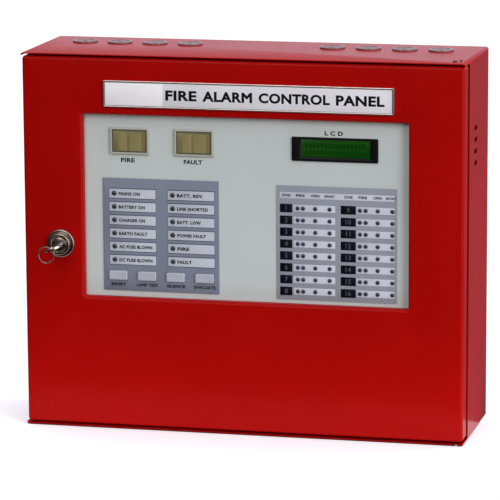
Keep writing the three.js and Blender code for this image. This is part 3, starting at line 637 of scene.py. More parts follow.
def case_shell():
    """One sheet folded round top, sides and floor, with its holes and the door's hinge holes."""
    soft, slight = 0.3, 0.09
    front, back = case.front, case.back
    stations = (
        (0, back - soft), (0, front + soft), (slight, front + slight), (soft, front),
        (SHEET - soft, front), (SHEET - slight, front + slight), (SHEET, front + soft),
        (SHEET, back - soft), (SHEET - soft, back), (soft, back),
    )
    sheet = moulding(bmesh.new(), concentric(face_of(case), CASE_BEND, stations), steps=8)
    tools = bmesh.new()
    reach = case.top - CASE_BEND
    for side in (-1, 1):
        low, high = sorted((side * (case.right - 4), side * (case.right + 2)))
        brick(tools, (low, front - 1, -reach), (high, SIDE_FRONT, reach), edge=0)
        rod(tools, PIN_HOLE, *sorted((side * 180, side * 190)), at(HINGE.x, HINGE.y, 0))
        for index in range(4):
            vent = outline(around(-70, 116.3 - 11.5 * index, 16, 4.6), 2.3)
            loft(tools, [[(side * x, y, z) for y, z in vent] for x in (210, 230)])
    for index in range(8):
        plug = middle(box_of(f"entry_plug_{index + 1}"))
        rod(tools, PLUG, 180, 190, at(plug.x, plug.y, 0), 40)
    rod(tools, 1.4, 180, 190, at(HINGE.x + PIN_TAIL, HINGE.y + PIN_TAIL, 0))
    foot = case.bottom
    brick(tools, (211.4, front - 1, foot - 1), (213.6, front + 6, foot + SHEET + 1), edge=0)
    piece("case_shell", carved(sheet, tools), "case", RED, ["case_wrapper"])


def keyhole(bm, x, z):
    """A cutter for a screw keyhole: a round entry with a narrow slot above it."""
    head, shank, rise = 5, 2.6, 11
    start = math.asin(shank / head)
    sweep = [math.pi / 2 + start + (2 * math.pi - 2 * start) * step / 24 for step in range(25)]
    points = [polar(head, angle) for angle in sweep]
    for step in range(13):
        across, up = polar(shank, math.pi * step / 12)
        points.append((across, rise + up))
    loft(bm, [[(x + across, y, z + up) for across, up in points] for y in (-3, 3)])


def case_back():
    back = box_of("case_back")
    tools = bmesh.new()
    for x in (-185, 185):
        keyhole(tools, x, 146)
        rod(tools, 3, -3, 3, at(x, 0, -75, FRONTWARD))
    sheet = slab(bmesh.new(), face_of(back), 1, back.front, back.back)
    piece("back_sheet", carved(sheet, tools), "case", RED, ["case_back"])


def latch_strip():
    """The folded angle behind the door's free edge, with its row of spot welds."""
    strip = box_of("latch_strip")
    bm = refined("latch_strip", 0.35)
    for index in range(6):
        z = strip.bottom + (index + 0.5) * (strip.top - strip.bottom) / 6
        dome(bm, 2.6, 0.35, at(strip.left + SHEET, strip.back - 8, z, SIDEWARD), 20)
    piece("latch_angle", bm, "case", RED, ["latch_strip"])


def hinge_pins():
    """Turned pins with thin collars. The upper one is riveted over on top, with a tail beside the rivet."""
    shank, collar, head, edge = 1.6, 3.2, 2.4, 0.2
    under = case.top - SHEET - GAP
    for node, turn in (("hinge_pin_top", Matrix.Identity(4)), ("hinge_pin_bottom", DOWNWARD)):
        pin = box_of(node)
        upper = node.endswith("top")
        foot, tall = pin.bottom if upper else pin.top, pin.top - pin.bottom
        base, ceiling = door.top + GAP - abs(foot), under - abs(foot)
        profile = [
            (0.5, 0), (1.1, 0.1), (shank, 0.9), (shank, base), (collar - edge, base), (collar, base + edge),
            (collar, ceiling - edge), (collar - edge, ceiling), (shank, ceiling),
        ]
        if upper:
            sheet_top = case.top + GAP - foot
            profile += [
                (shank, sheet_top), (head - edge, sheet_top), (head, sheet_top + edge),
                (head - edge, sheet_top + 0.7), (head * 0.7, tall - 0.2), (0.3, tall),
            ]
        else:
            profile += [(shank, tall - edge), (1.3, tall), (0.3, tall)]
        bm = lathe(bmesh.new(), profile, at(HINGE.x, HINGE.y, foot, turn), 28)
        if upper:
            reach = PIN_TAIL * math.sqrt(2)
            strip = brick(bmesh.new(), (0, -1.1, foot + base), (reach, 1.1, foot + ceiling), edge)
            merge(bm, strip, at(HINGE.x, HINGE.y, 0, Matrix.Rotation(math.radians(45), 4, "Z")))
            rod(bm, 1.1, foot + base, pin.top, at(HINGE.x + PIN_TAIL, HINGE.y + PIN_TAIL, 0), 20)
        piece(f"{node}_turned", bm, "case", PIN, [node])


def entry_plugs():
    """Blanking plugs: a dished cap with a moulded ring, a groove for the sheet and a snap lip."""
    under, over = case.top - SHEET - GAP, case.top + 0.1
    for index in range(8):
        node = f"entry_plug_{index + 1}"
        plug = box_of(node)
        centre, cap, top = middle(plug), (plug.right - plug.left) / 2, plug.top
        profile = [
            (7.5, plug.bottom), (PLUG - 1.2, plug.bottom), (PLUG + 0.6, under - 0.2), (PLUG + 0.4, under),
            (PLUG - 0.4, under), (PLUG - 0.4, over), (cap - 0.1, over), (cap, over + 0.3),
            (cap - 0.2, top - 0.7), (cap - 0.9, top - 0.15), (cap - 1.7, top), (cap - 3.2, top - 0.1),
            (cap - 3.8, top - 0.7), (cap - 4.6, top - 0.9), (2.6, top - 0.8), (2.2, top - 0.3),
            (0.05, top - 0.3),
        ]
        bm = lathe(bmesh.new(), profile, at(centre.x, centre.y, 0), 56)
        piece(f"{node}_moulded", bm, "case", RUBBER, [node])


case_shell()
case_back()
latch_strip()
hinge_pins()
entry_plugs()

# ---------------------------------------------------------------- main board and power supply


def chip(bm, legs, x, z, wide, tall, high, plane, out):
    """A packaged chip with a row of legs along its upper and lower edge."""
    block(bm, x, z, wide, tall, *sorted((plane + out * 0.6, plane + out * high)), 0.2, 1)
    depth = sorted((plane + out * 0.05, plane + out * 1.6))
    count = max(2, int(wide / 2.54))
    for index in range(count):
        leg = x - wide / 2 + (index + 0.5) * wide / count
        for side in (-1, 1):
            block(legs, leg, z + side * (tall / 2 + 0.55), 0.6, 1.1, *depth, 0)


def can(sleeves, tops, x, z, radius, tall, plane, turn):
    """An electrolytic capacitor: a sleeved can with a crimped, scored top."""
    place = at(x, plane, z, turn)
    sleeve = (
        (0.9, 0.2), (1, 0.6), (1, 1.6), (0.93, 2.1), (1, 2.6),
        (1, tall - 0.5), (0.9, tall), (0.86, tall - 0.1),
    )
    lathe(sleeves, [(radius * share, height) for share, height in sleeve], place, 28)
    lathe(tops, [(radius * 0.84, tall - 0.4), (radius * 0.84, tall - 0.05), (0.05, tall + 0.05)], place, 28)


def screw_heads(xs, y, z, radius):
    """Slotted pan heads, each with its slot at its own angle."""
    bm = bmesh.new()
    for index, x in enumerate(xs):
        head = rod(bmesh.new(), radius, -0.5, 1.2, Matrix.Identity(4), 20, 0.3)
        slot = brick(bmesh.new(), (-radius * 1.2, -0.3, 0.5), (radius * 1.2, 0.3, 3), 0)
        twist = Matrix.Rotation(math.radians(37 * index % 180), 4, "Z")
        merge(bm, carved(head, slot), at(x, y, z, FRONTWARD) @ twist)
    return bm


def terminal_row(node, ways, surface):
    """A screw terminal row: its moulded body and a screw for each way."""
    row = box_of(node)
    refined_piece(f"{node}_body", node, 0.3, "case", surface)
    pitch = (row.right - row.left) / ways
    xs = [row.left + (index + 0.5) * pitch for index in range(ways)]
    screws = screw_heads(xs, row.front - 0.1, row.bottom + 4.2, min(2.6, 0.3 * pitch))
    piece(f"{node}_screws", screws, "case", ZINC)
    return xs


def resistor(bodies, leads, place, profile):
    lathe(bodies, profile, place, 12)
    rod(leads, 0.3, -4.6, 4.6, place, 8, 0.1)


def main_board():
    plane = box_of("main_board").front
    refined_piece("main_board_laminate", "main_board", 0.2, "case", BOARD)
    zone_xs = terminal_row("zone_terminal_block", 17, TERMINAL)
    output_xs = terminal_row("output_terminal_block", 7, TERMINAL)
    chips, legs, beige, relays, sleeves, tops = (bmesh.new() for _ in range(6))
    waist = [(0.3, -3.4), (1.1, -3.0), (1.2, -2), (0.95, -1.2)]
    waist += [(radius, -height) for radius, height in reversed(waist)]
    for index, x in enumerate(zone_xs):
        for row in range(3):
            resistor(beige, legs, at(x + 2.4 * (row - 1), plane - 1.3, 66 - 8 * row), waist)
        if index % 2 == 0:
            chip(chips, legs, x, 38, 9, 6.4, 3.6, plane, -1)
    for x in output_xs[::2]:
        block(relays, x, 56, 16, 20, plane - 15.5, plane - 0.4, 0.5)
    for x, z, wide, tall, high in (
        (-40, 2, 52, 14, 4.4), (-108, 2, 36, 8, 3.8), (24, 8, 22, 7, 3.8), (24, -12, 22, 7, 3.8)
    ):
        chip(chips, legs, x, z, wide, tall, high, plane, -1)
    for index in range(5):
        can(sleeves, tops, 62 + 17 * index, -34, 6.5, 21, plane, FRONTWARD)
    for index in range(6):
        can(sleeves, tops, -128 + 14 * index, -30, 4, 11, plane, FRONTWARD)
    for x in (-30, -8, 14):
        block(beige, x, -38, 18, 12, plane - 9, plane - 0.4, 0.5)
    for name, bm, slot, surface in (
        ("chips", chips, "black_plastic", RESIN), ("leads", legs, "zinc", TINNED),
        ("resistors", beige, "white_plastic", CERAMIC), ("relays", relays, "black_plastic", RELAY),
        ("capacitors", sleeves, "black_plastic", SLEEVE), ("capacitor_tops", tops, "zinc", TINNED),
    ):
        piece(f"main_board_{name}", bm, "case", surface)
    heat_sink(plane)
    fuses(plane)


def heat_sink(plane):
    """A finned aluminium heat sink at the right edge of the board."""
    x, z, wide, tall, fins = 115, 7, 38, 46, 8
    bm = block(bmesh.new(), x, z, wide, tall, plane - 4, plane - 0.5, 0.3)
    for index in range(fins):
        fin = x - wide / 2 + 1.2 + index * (wide - 2.4) / (fins - 1)
        block(bm, fin, z, 1.6, tall, plane - 24, plane - 3.8)
    piece("heat_sink", bm, "case", ALUMINIUM)


def fuses(plane):
    """Two glass fuses in their clips."""
    caps, clips = bmesh.new(), bmesh.new()
    for x in (62, 80):
        for radius, low, high in ((2.6, -10, -5.4), (2.6, 5.4, 10), (2.2, -9, 9)):
            rod(caps, radius, low, high, at(x, plane - 6, 12), 20)
        for z in (-8, 8):
            block(clips, x, 12 + z, 6.8, 4, plane - 6, plane - 0.2, 0.2)
    piece("fuse_bodies", caps, "case", TINNED)
    piece("fuse_clips", clips, "case", BRASS)


def standoffs():
    rear = -box_of("main_board").back - GAP
    for index in range(4):
        node = f"board_standoff_{index + 1}"
        post = box_of(node)
        place = frontward_at(post)
        bm = hexagon(bmesh.new(), 6, -post.back, rear, place)
        lathe(bm, thread(1.5, rear - 0.1, -post.front, 0.5, 0.2), place, 16)
        piece(f"{node}_turned", bm, "case", BRASS, [node])


def transformer():
    core, coil = box_of("transformer_core"), box_of("transformer_winding")
    refined_piece("transformer_laminations", "transformer_core", 0.3, "case", CORE)
    refined_piece("transformer_coil", "transformer_winding", 1.6, "case", TAPE)
    bolts, tags = bmesh.new(), bmesh.new()
    for side in (-1, 1):
        x = (core.left + core.right) / 2 + side * (core.right - core.left - 9) / 2
        hexagon(bolts, 7, 3.9, 7, at(x, 0, (core.top + core.bottom) / 2, FRONTWARD))
    piece("transformer_bolts", bolts, "case", ZINC)
    for index in range(5):
        x = coil.left + (index + 0.5) * (coil.right - coil.left) / 5
        block(tags, x, coil.top - 4.7, 2.4, 0.6, coil.front - 3.5, coil.front + 0.5, 0)
    piece("transformer_tags", tags, "case", TINNED)


def batteries():
    """Sealed batteries: a ribbed case, a lid with a seam, and two tab terminals in coloured wells."""
    lid, seam, tab_rise = 14, 0.5, 6
    for index in range(2):
        node = f"battery_{index + 1}"
        cell = box_of(node)
        shoulder = cell.top - tab_rise
        split = shoulder - lid
        body = bmesh.new()
        for x, y, low, high, edge, segments in (
            (0, 0, cell.bottom, split - seam, 1.2, 3), (1, 1, split - 2 * seam, split + seam, 0, 2),
            (0.3, 0.3, split, shoulder - 1.2, 1.0, 3), (22, 8, shoulder - 2, shoulder, 0.6, 2),
        ):
            corners = (cell.left + x, cell.front + y, low), (cell.right - x, cell.back - y, high)
            brick(body, *corners, edge, segments)
        for rib in range(9):
            x = cell.left + 16 + rib * (cell.right - cell.left - 32) / 8
            block(body, x, cell.bottom + 18, 1.4, 20, cell.front - 0.4, cell.front + 1, 0.3)
        piece(f"{node}_case", body, "case", CASING, [node])
        y = cell.front + 14.4
        for side, surface, label in ((1, POST_RED, "plus"), (-1, RESIN, "minus")):
            x = (cell.left + cell.right) / 2 + side * ((cell.right - cell.left) / 2 - 14)
            well = brick(bmesh.new(), (x - 6, y - 6, shoulder - 2), (x + 6, y + 6, shoulder - 0.2), 0.5)
            tab = brick(bmesh.new(), (x - 3.2, y - 0.4, shoulder - 1), (x + 3.2, y + 0.4, cell.top), 0.3)
            piece(f"{node}_{label}_well", well, "case", surface)
            piece(f"{node}_{label}_tab", tab, "case", TINNED)


def small_case_parts():
    bracket, stud = box_of("battery_bracket"), box_of("earth_stud")
    refined_piece("bracket_strap", "battery_bracket", 0.4, "case", ZINC)
    xs = [bracket.left + 5, bracket.right - 5]
    screws = screw_heads(xs, bracket.back - 1.6, (bracket.top + bracket.bottom) / 2, 3.2)
    piece("bracket_screws", screws, "case", ZINC)
    place, foot = frontward_at(stud), -stud.back
    bm = lathe(bmesh.new(), [(1, foot), (6, foot), (6, foot + 1.1), (2, foot + 1.2)], place, 32)
    hexagon(bm, 8, foot + 1.2, foot + 5, place)
    lathe(bm, thread(2.5, foot + 4.8, -stud.front, 0.8, 0.3), place, 20)
    piece("earth_stud_turned", bm, "case", BRASS, ["earth_stud"])
    terminal_row("mains_terminal_block", 4, WHITE)


main_board()
standoffs()
transformer()
batteries()
small_case_parts()

# ---------------------------------------------------------------- door

lock = middle(box_of("lock_barrel"))
WINDOW = Rect(-159, 165, -54, 127)
WINDOW_FOLD = door.front + 9


def door_pan():
    """The door's sheet: four flanges bent back at the edge and a window folded in at the middle."""
    bend, fold, lip = 3, 3, 0.25
    corner, turn, hollow = 3.4, 2, bend - SHEET
    front, skin = door.front, door.front + SHEET
    window = [(0, WINDOW_FOLD - lip)]
    window += [(fold * (math.cos(a) - 1), front + fold * (1 - math.sin(a))) for a in quarter(5)]
    edge = [(bend * (1 - math.sin(a)), front + bend * (1 - math.cos(a))) for a in quarter(6)]
    edge += [(0, door.back - lip), (lip, door.back), (SHEET - lip, door.back), (SHEET, door.back - lip)]
    edge += [(SHEET + hollow * (1 - math.cos(a)), skin + hollow * (1 - math.sin(a))) for a in quarter(3)]
    rear = [(-SHEET, skin), (-SHEET, WINDOW_FOLD - lip), (lip - SHEET, WINDOW_FOLD), (-lip, WINDOW_FOLD)]
    section = concentric(WINDOW, turn, window) + concentric(face_of(door), corner, edge)
    pan = moulding(bmesh.new(), section + concentric(WINDOW, turn, rear), steps=8)
    tools = rod(bmesh.new(), 9.3, -door.back, -door.front + 5, at(lock.x, 0, lock.z, FRONTWARD), 40)
    for side in (-1, 1):
        rod(tools, PIN_HOLE, *sorted((side * 170, side * 190)), at(HINGE.x, HINGE.y, 0))
    piece("door_pan", carved(pan, tools), "door", RED, ["door_panel"])


def nameplate():
    """The sign in its thin aluminium frame, with its lettering and a blank patch at the left."""
    trim, sign = box_of("nameplate_trim"), box_of("nameplate")
    rim, front = 1.6, trim.front
    stations = (
        (0, 1, trim.back), (0, 1, front + 0.5), (0.15, 0.85, front + 0.15), (0.5, 0.5, front),
        (rim - 0.4, 0.5, front), (rim - 0.1, 0.5, front + 0.15), (rim, 0.5, front + 0.5),
        (rim, 0.5, trim.back),
    )
    bm = moulding(bmesh.new(), inside(face_of(trim), stations))
    piece("nameplate_frame", bm, "door", ALUMINIUM, ["nameplate_trim"])
    bm = slab(bmesh.new(), face_of(sign), 0.5, sign.front, sign.back, 0.1)
    piece("nameplate_sign", bm, "door", SIGN, ["nameplate"])
    patch = Rect(sign.left + 0.6, -76.8, sign.bottom + 0.6, sign.top - 0.6)
    bm = slab(bmesh.new(), patch, 0.4, sign.front - 0.12, sign.front + 0.1, 0.05)
    piece("nameplate_patch", bm, "door", PATCH)
    words = (("FIRE", -58.3, 31.2), ("ALARM", -12.3, 49.5), ("CONTROL", 53.8, 70), ("PANEL", 118.4, 47.4))
    lines = [(word, x, sign.top - 11.4, 10, width) for word, x, width in words]
    lettering("nameplate_letters", lines, sign.front, INK, 0.042)


door_pan()
nameplate()

# ---------------------------------------------------------------- facia

facia = box_of("facia_plate")
PROUD = 0.12  # thickness of a label on its film
BUTTONS = [box_of(f"push_button_{index + 1}") for index in range(4)]
BUTTON_HOLES = [grow(face_of(button), GAP) for button in BUTTONS]


def openings(rects, front, back):
    """Cutters for square holes through a plate."""
    tools = bmesh.new()
    for rect in rects:
        brick(tools, (rect.left, front - 1, rect.bottom), (rect.right, back + 1, rect.top), 0)
    return tools


def facia_plate():
    bezels = ("fire_lamp_bezel", "fault_lamp_bezel", "lcd_bezel")
    windows = [grow(face_of(box_of(node)), -3.6) for node in bezels]
    tools = openings(windows + BUTTON_HOLES, facia.front, facia.back)
    for index in range(4):
        place = frontward_at(box_of(f"facia_stud_{index + 1}"))
        rod(tools, 1.8, -facia.back - 1, -facia.front + 1, place, 16)
    bm = slab(bmesh.new(), face_of(facia), 3, facia.front, facia.back)
    piece("facia_skin", carved(bm, tools), "door", FACIA, ["facia_plate"])


def overlay(name, node, surface, holes=()):
    film = box_of(node)
    bm = slab(bmesh.new(), face_of(film), 1, film.front, film.back, 0.08)
    if holes:
        bm = carved(bm, openings(holes, film.front, film.back))
    piece(name, bm, "door", surface, [node])
    return film


def strips(name, rects, y, surface, rise=PROUD):
    """Thin printed strips that stand just proud of the film."""
    bm = bmesh.new()
    for rect in rects:
        slab(bm, rect, 0.3, y - rise, y + 0.1, 0.04, 3)
    piece(name, bm, "door", surface)


def lamps(name, places, y, radius, rise):
    """Light emitting diodes: domes in the film."""
    bm = bmesh.new()
    for x, z in places:
        dome(bm, radius, rise, at(x, y, z, FRONTWARD), 20)
    piece(name, bm, "door", LED)


def status_panel():
    film = overlay("status_film", "status_overlay", STATUS, BUTTON_HOLES)
    wide, tall, pitch = 46.8, 9, 13.2
    words = (
        ("MAINS ON", "BATTERY ON", "CHARGER ON", "EARTH FAULT", "AC FUSE BLOWN", "DC FUSE BLOWN"),
        ("BATT. REV.", "LINE SHORTED", "BATT. LOW", "POWER FAULT", "FIRE", "FAULT"),
    )
    labels, shades, leds, captions = [], [], [], []
    for column, left in enumerate((film.left + 6.6, film.left + 65.6)):
        for row, text in enumerate(words[column]):
            top = film.top - 10.8 - row * pitch
            z = top - tall / 2
            labels.append(Rect(left, left + wide, top - tall, top))
            shades.append(Rect(left - 0.5, left + wide + 0.5, top - tall - 0.8, top + 1))
            leds.append((left + 5, z))
            width = 2.4 * len(text) + 2.5
            captions.append((text, left + 9.4 + width / 2, z - 0.2, 3.4, width))
    strips("status_shades", shades, film.front, SHADE, 0.05)
    strips("status_labels", labels, film.front, LABEL)
    lamps("status_leds", leds, film.front - PROUD, 2.5, 1.4)
    lettering("status_captions", captions, film.front - PROUD, INK, 0.05)
    names = (("RESET", 15), ("LAMP TEST", 22), ("SILENCE", 19), ("EVACUATE", 21.5))
    under = [
        (text, (b.left + b.right) / 2, b.bottom - 4.6, 3.2, width) for b, (text, width) in zip(BUTTONS, names)
    ]
    lettering("button_captions", under, film.front, INK, 0.05)


def zone_panel():
    film = overlay("zone_film", "zone_overlay", ZONE)
    left = film.left
    head = Rect(left + 3.5, film.right - 2.5, film.top - 12.4, film.top - 6.6)
    tall, pitch = 8.4, 11.7
    columns = (  # offsets from the film's left edge: tile, strip and lamps
        ((3.5, 15.7), (16.9, 58.2), (21.2, 26.5, 38.6, 52.8)),
        ((63.7, 78.5), (79.4, 116.5), (82.6, 88.3, 100.1, 114.5)),
    )
    tiles, labels, leds, numbers, captions = [], [head], [], [], []
    for column, (tile, strip, lights) in enumerate(columns):
        for row in range(8):
            top = film.top - 18 - row * pitch
            z = top - tall / 2
            tiles.append(Rect(left + tile[0], left + tile[1], top - tall, top))
            labels.append(Rect(left + strip[0], left + strip[1], top - tall + 1, top - 0.7))
            leds += [(left + x, z) for x in lights]
            numbers.append((str(1 + row + 8 * column), left + sum(tile) / 2, z, 4.8, 0))
        centres = (sum(tile) / 2, (lights[0] + lights[1]) / 2, lights[2], lights[3] - 1.5 * column)
        for text, x in zip(("ZONE", "FIRE", "OPEN", "SHORT"), centres):
            captions.append((text, left + x, (head.bottom + head.top) / 2, 2.7, 1.9 * len(text) + 1.0))
    strips("zone_labels", labels, film.front, STRIP)
    strips("zone_tiles", tiles, film.front, TILE)
    lamps("zone_leds", leds, film.front - PROUD, 2.15, 1.2)
    lettering("zone_numbers", numbers, film.front - PROUD, DIGIT, 0.015)
    lettering("zone_captions", captions, film.front - PROUD, INK, 0.045)


def indicator(kind):
    """A lamp: a bezel, a smoky lens with two bowed flutes, a dark ring of painted shade round the sunk lens,
    and the housing behind.
    """
    bezel, lens = box_of(f"{kind}_lamp_bezel"), box_of(f"{kind}_lamp_lens")
    outer, rim, front = face_of(bezel), 2.1, bezel.front
    stations = (
        (0, 1.4, bezel.back), (0, 1.4, front + 0.9), (0.25, 1.15, front + 0.3), (0.8, 0.6, front),
        (rim - 0.3, 0.6, front + 0.1), (rim, 0.6, front + 0.5), (rim, 0.6, bezel.back),
    )
    bm = moulding(bmesh.new(), inside(outer, stations))
    piece(f"{kind}_bezel", bm, "door", IVORY, [f"{kind}_lamp_bezel"])
    window, sink = grow(outer, -rim - 0.1), front + 1.3
    bm = slab(bmesh.new(), window, 0.4, sink, bezel.back, 0.2)
    piece(f"{kind}_lens", bm, "door", LENS, [f"{kind}_lamp_lens"])
    bm = bmesh.new()
    wide = window.right - window.left
    for left, right in ((0.17, 0.43), (0.49, 0.84)):
        low, high = window.left + left * wide, window.left + right * wide
        points = [(low, sink + 0.2)]
        for step in range(9):
            across = -1 + step / 4
            x = (low + high) / 2 + across * (high - low) / 2
            points.append((x, sink - 0.5 * math.sqrt(1.04 - across * across)))
        points.append((high, sink + 0.2))
        loft(bm, [[(x, y, z) for x, y in points] for z in (window.bottom + 1.4, window.top - 2.6)])
    piece(f"{kind}_lens_flutes", bm, "door", FLUTE)
    # a dark ring at the edge of the sunk lens: painted shade for the recess inside the bezel
    shade_ring = ((0, 0.5, sink - 0.1), (1.2, 0.4, sink - 0.25), (1.6, 0.4, sink + 0.2), (0, 0.5, sink + 0.2))
    piece(f"{kind}_gasket", moulding(bmesh.new(), inside(window, shade_ring)), "door", LENS_SHADE_RING)
    low, high = (lens.left, lens.front + 3, lens.bottom + 2.2), (lens.right, lens.back, lens.top - 2.2)
    piece(f"{kind}_lamp_housing", brick(bmesh.new(), low, high, 0.4), "door", IVORY)


def display():
    """The liquid crystal display: its bezel, dark window, holder and two rows of cells."""
    bezel, module = box_of("lcd_bezel"), box_of("lcd_module")
    front, view = bezel.front, Rect(58, 126.4, 90.6, 107.6)
    rim = ((0, 1.2, bezel.back), (0, 1.2, front + 0.6), (0.2, 1, front + 0.2), (0.6, 0.7, front))
    lip = ((-0.8, 0.8, front + 0.05), (-0.1, 0.4, front + 0.6), (0, 0.4, bezel.back))
    bm = moulding(bmesh.new(), inside(face_of(bezel), rim) + inside(view, lip))
    piece("lcd_frame", bm, "door", BLACK, ["lcd_bezel"])
    bm = slab(bmesh.new(), grow(view, -0.1), 0.3, module.front, facia.front + 0.8, 0.1)
    piece("lcd_window", bm, "door", LCD, ["lcd_module"])
    low, high = (module.left, facia.front + 0.9, module.bottom), (module.right, module.back, module.top)
    piece("lcd_holder", brick(bmesh.new(), low, high, 0.3), "door", BLACK)
    bm = bmesh.new()
    for row in range(2):
        z = (view.bottom + view.top) / 2 + (0.5 - row) * 6.6
        for column in range(16):
            x = view.left + 4.4 + (column + 0.5) * (view.right - view.left - 8.8) / 16
            slab(bm, around(x, z, 2.9, 5.2), 0.1, module.front - 0.02, module.front + 0.05, 0.01, 1)
    piece("lcd_cells", bm, "door", CELLS)


def push_buttons():
    """Moulded caps with rounded edges and a slight dish, each on its stem."""
    corner, back = 1.2, facia.back + 1
    for index, button in enumerate(BUTTONS):
        node, front = f"push_button_{index + 1}", button.front
        stations = (
            (0, corner, back), (0, corner, front + 0.8), (0.12, corner, front + 0.4),
            (0.4, corner, front + 0.12), (0.8, corner, front), (2.2, corner, front + 0.12),
            (4.0, corner * 0.4, front + 0.2),
        )
        bm = moulding(bmesh.new(), inside(face_of(button), stations), closed=False)
        centre = middle(button)
        block(bm, centre.x, centre.z, 5, 5, back - 0.2, button.back, 0.3)
        piece(f"{node}_cap", bm, f"button_{index + 1}", WHITE, [node])


def facia_labels():
    fire, fault = middle(box_of("fire_lamp_bezel")), middle(box_of("fault_lamp_bezel"))
    lines = [
        ("FIRE", fire.x - 2, 81.4, 4.4, 14),
        ("FAULT", fault.x - 1.2, 81.4, 4.4, 18.6),
        ("L C D", 90.3, box_of("lcd_bezel").top + 4.0, 4.4, 18),
    ]
    lettering("facia_letters", lines, facia.front, INK, 0.045)


facia_plate()
status_panel()
zone_panel()
for kind in ("fire", "fault"):
    indicator(kind)
display()
push_buttons()
facia_labels()


def studs():
    """Threaded studs with the nuts that hold the facia and the display board."""
    board = box_of("display_board")
    for index in range(4):
        node = f"facia_stud_{index + 1}"
        stud = box_of(node)
        place = frontward_at(stud)
        bm = bmesh.new()
        hexagon(bm, 6, -facia.front + GAP, -stud.front, place)
        for plate in (facia, board):
            hexagon(bm, 6, -plate.back - 3, -plate.back - GAP, place)
        lathe(bm, thread(1.5, -stud.back, -facia.front + 0.5, 0.5, 0.2), place, 16)
        piece(f"{node}_thread", bm, "door", ZINC, [node])


def display_board():
    """The circuit board behind the facia, with the parts on its rear face."""
    plane = box_of("display_board").back
    refined_piece("display_board_laminate", "display_board", 0.2, "door", BOARD)
    chips, legs, joints, beige = (bmesh.new() for _ in range(4))
    for row in range(4):
        for x in (92, -84):
            chip(chips, legs, x, 34 - 22 * row, 22, 7, 3.8, plane, 1)
    chip(chips, legs, 0, -16, 34, 14, 4.2, plane, 1)
    block(chips, 0, 66, 60, 8, plane + 0.3, plane + 7, 0.4)
    for column in range(24):
        for row in range(8):
            dome(joints, 0.7, 0.5, at(-134 + 11.8 * column, plane, 50 - 13 * row, BACKWARD), 8, 2)
    for column in range(10):
        place = at(-58 + 7 * column, plane + 1.3, 46)
        rod(beige, 1.1, -3.2, 3.2, place, 12, 0.4)
        rod(legs, 0.3, -4.6, 4.6, place, 8, 0.1)
    for name, bm, slot, surface in (
        ("chips", chips, "black_plastic", RESIN), ("leads", legs, "zinc", TINNED),
        ("joints", joints, "zinc", TINNED), ("resistors", beige, "white_plastic", CERAMIC),
    ):
        piece(f"display_board_{name}", bm, "door", surface)


def sounder():
    """A round buzzer with a small sound hole."""
    buzzer = box_of("sounder")
    centre, radius, back = middle(buzzer), (buzzer.right - buzzer.left) / 2, buzzer.back
    profile = [
        (radius - 0.4, buzzer.front), (radius, buzzer.front + 0.4), (radius, back - 0.6),
        (radius - 0.2, back - 0.2), (radius - 0.8, back), (1.6, back), (1.5, back - 0.1),
        (1.4, back - 3), (0.05, back - 3),
    ]
    bm = lathe(bmesh.new(), profile, at(centre.x, 0, centre.z, BACKWARD))
    piece("sounder_case", bm, "door", BLACK, ["sounder"])


studs()
display_board()
sounder()

# ---------------------------------------------------------------- lock and key

LOCK_REST = math.radians(20)  # how far the keyway's right end stands above level
AT_REST = at(lock.x, 0, lock.z, Matrix.Rotation(-LOCK_REST, 4, "Y"))
barrel = box_of("lock_barrel")
NUT_BORE = 9.3


def lock_barrel():
    """The fixed barrel: a dished rosette, a fluted collar, a polished head and a threaded body."""
    rosette = (barrel.right - barrel.left) / 2
    face, front, rear = -door.front, -barrel.front, -barrel.back
    bore, head = 7.3, 11
    profile = [(bore, rear)] + thread(NUT_BORE - 0.3, rear, face - 2, 1, 0.35) + [
        (8.6, face + GAP), (rosette - 0.3, face + GAP), (rosette, face + 0.6),
        (rosette - 0.1, face + 1.1), (rosette - 0.7, face + 1.7), (rosette - 1.4, face + 2.0),
        (head + 0.7, face + 1.8), (head, face + 1.9), (head, front - 1.3), (head - 0.15, front - 0.8),
        (head - 0.6, front - 0.25), (head - 1.3, front), (bore + 0.9, front - 0.1),
        (bore + 0.4, front - 0.5), (bore, front - 0.8),
    ]
    place = at(lock.x, 0, lock.z, FRONTWARD)
    bm = lathe(bmesh.new(), profile, place, 64, closed=True)
    piece("lock_body", bm, "door", CHROME, ["lock_barrel"])
    nut = box_of("lock_nut")
    bm = hexagon(bmesh.new(), 24, -nut.back, -nut.front, place, NUT_BORE, 0.06)
    piece("lock_nut_plated", bm, "door", ZINC, ["lock_nut"])


def lock_plug():
    """The plug in the barrel's bore, with its keyway, and the square tail that drives the cam."""
    plug, cam, nut = (box_of(node) for node in ("lock_plug", "lock_cam", "cam_nut"))
    front, shoulder = -plug.front, -cam.front + 1.3
    profile = [
        (3.7, -plug.back), (4, -plug.back + 0.3), (4, shoulder), (7, shoulder),
        (7, front - 0.6), (6.8, front - 0.2), (6.4, front), (0.3, front + 0.05),
    ]
    wide, thick = 4.3, 1.4
    keyway = brick(bmesh.new(), (-wide, plug.front - 1, -thick), (wide, plug.front + 24, thick), 0)
    bm = carved(lathe(bmesh.new(), profile, FRONTWARD, 48), keyway)
    bm.transform(AT_REST)
    piece("lock_plug_turned", bm, "lock", CHROME, ["lock_plug"])
    refined_piece("lock_cam_stamped", "lock_cam", 0.4, "lock", ZINC)
    bm = hexagon(bmesh.new(), 13, -nut.back, -nut.front, AT_REST @ FRONTWARD, 4.3, 0.08)
    piece("cam_nut_plated", bm, "lock", ZINC, ["cam_nut"])


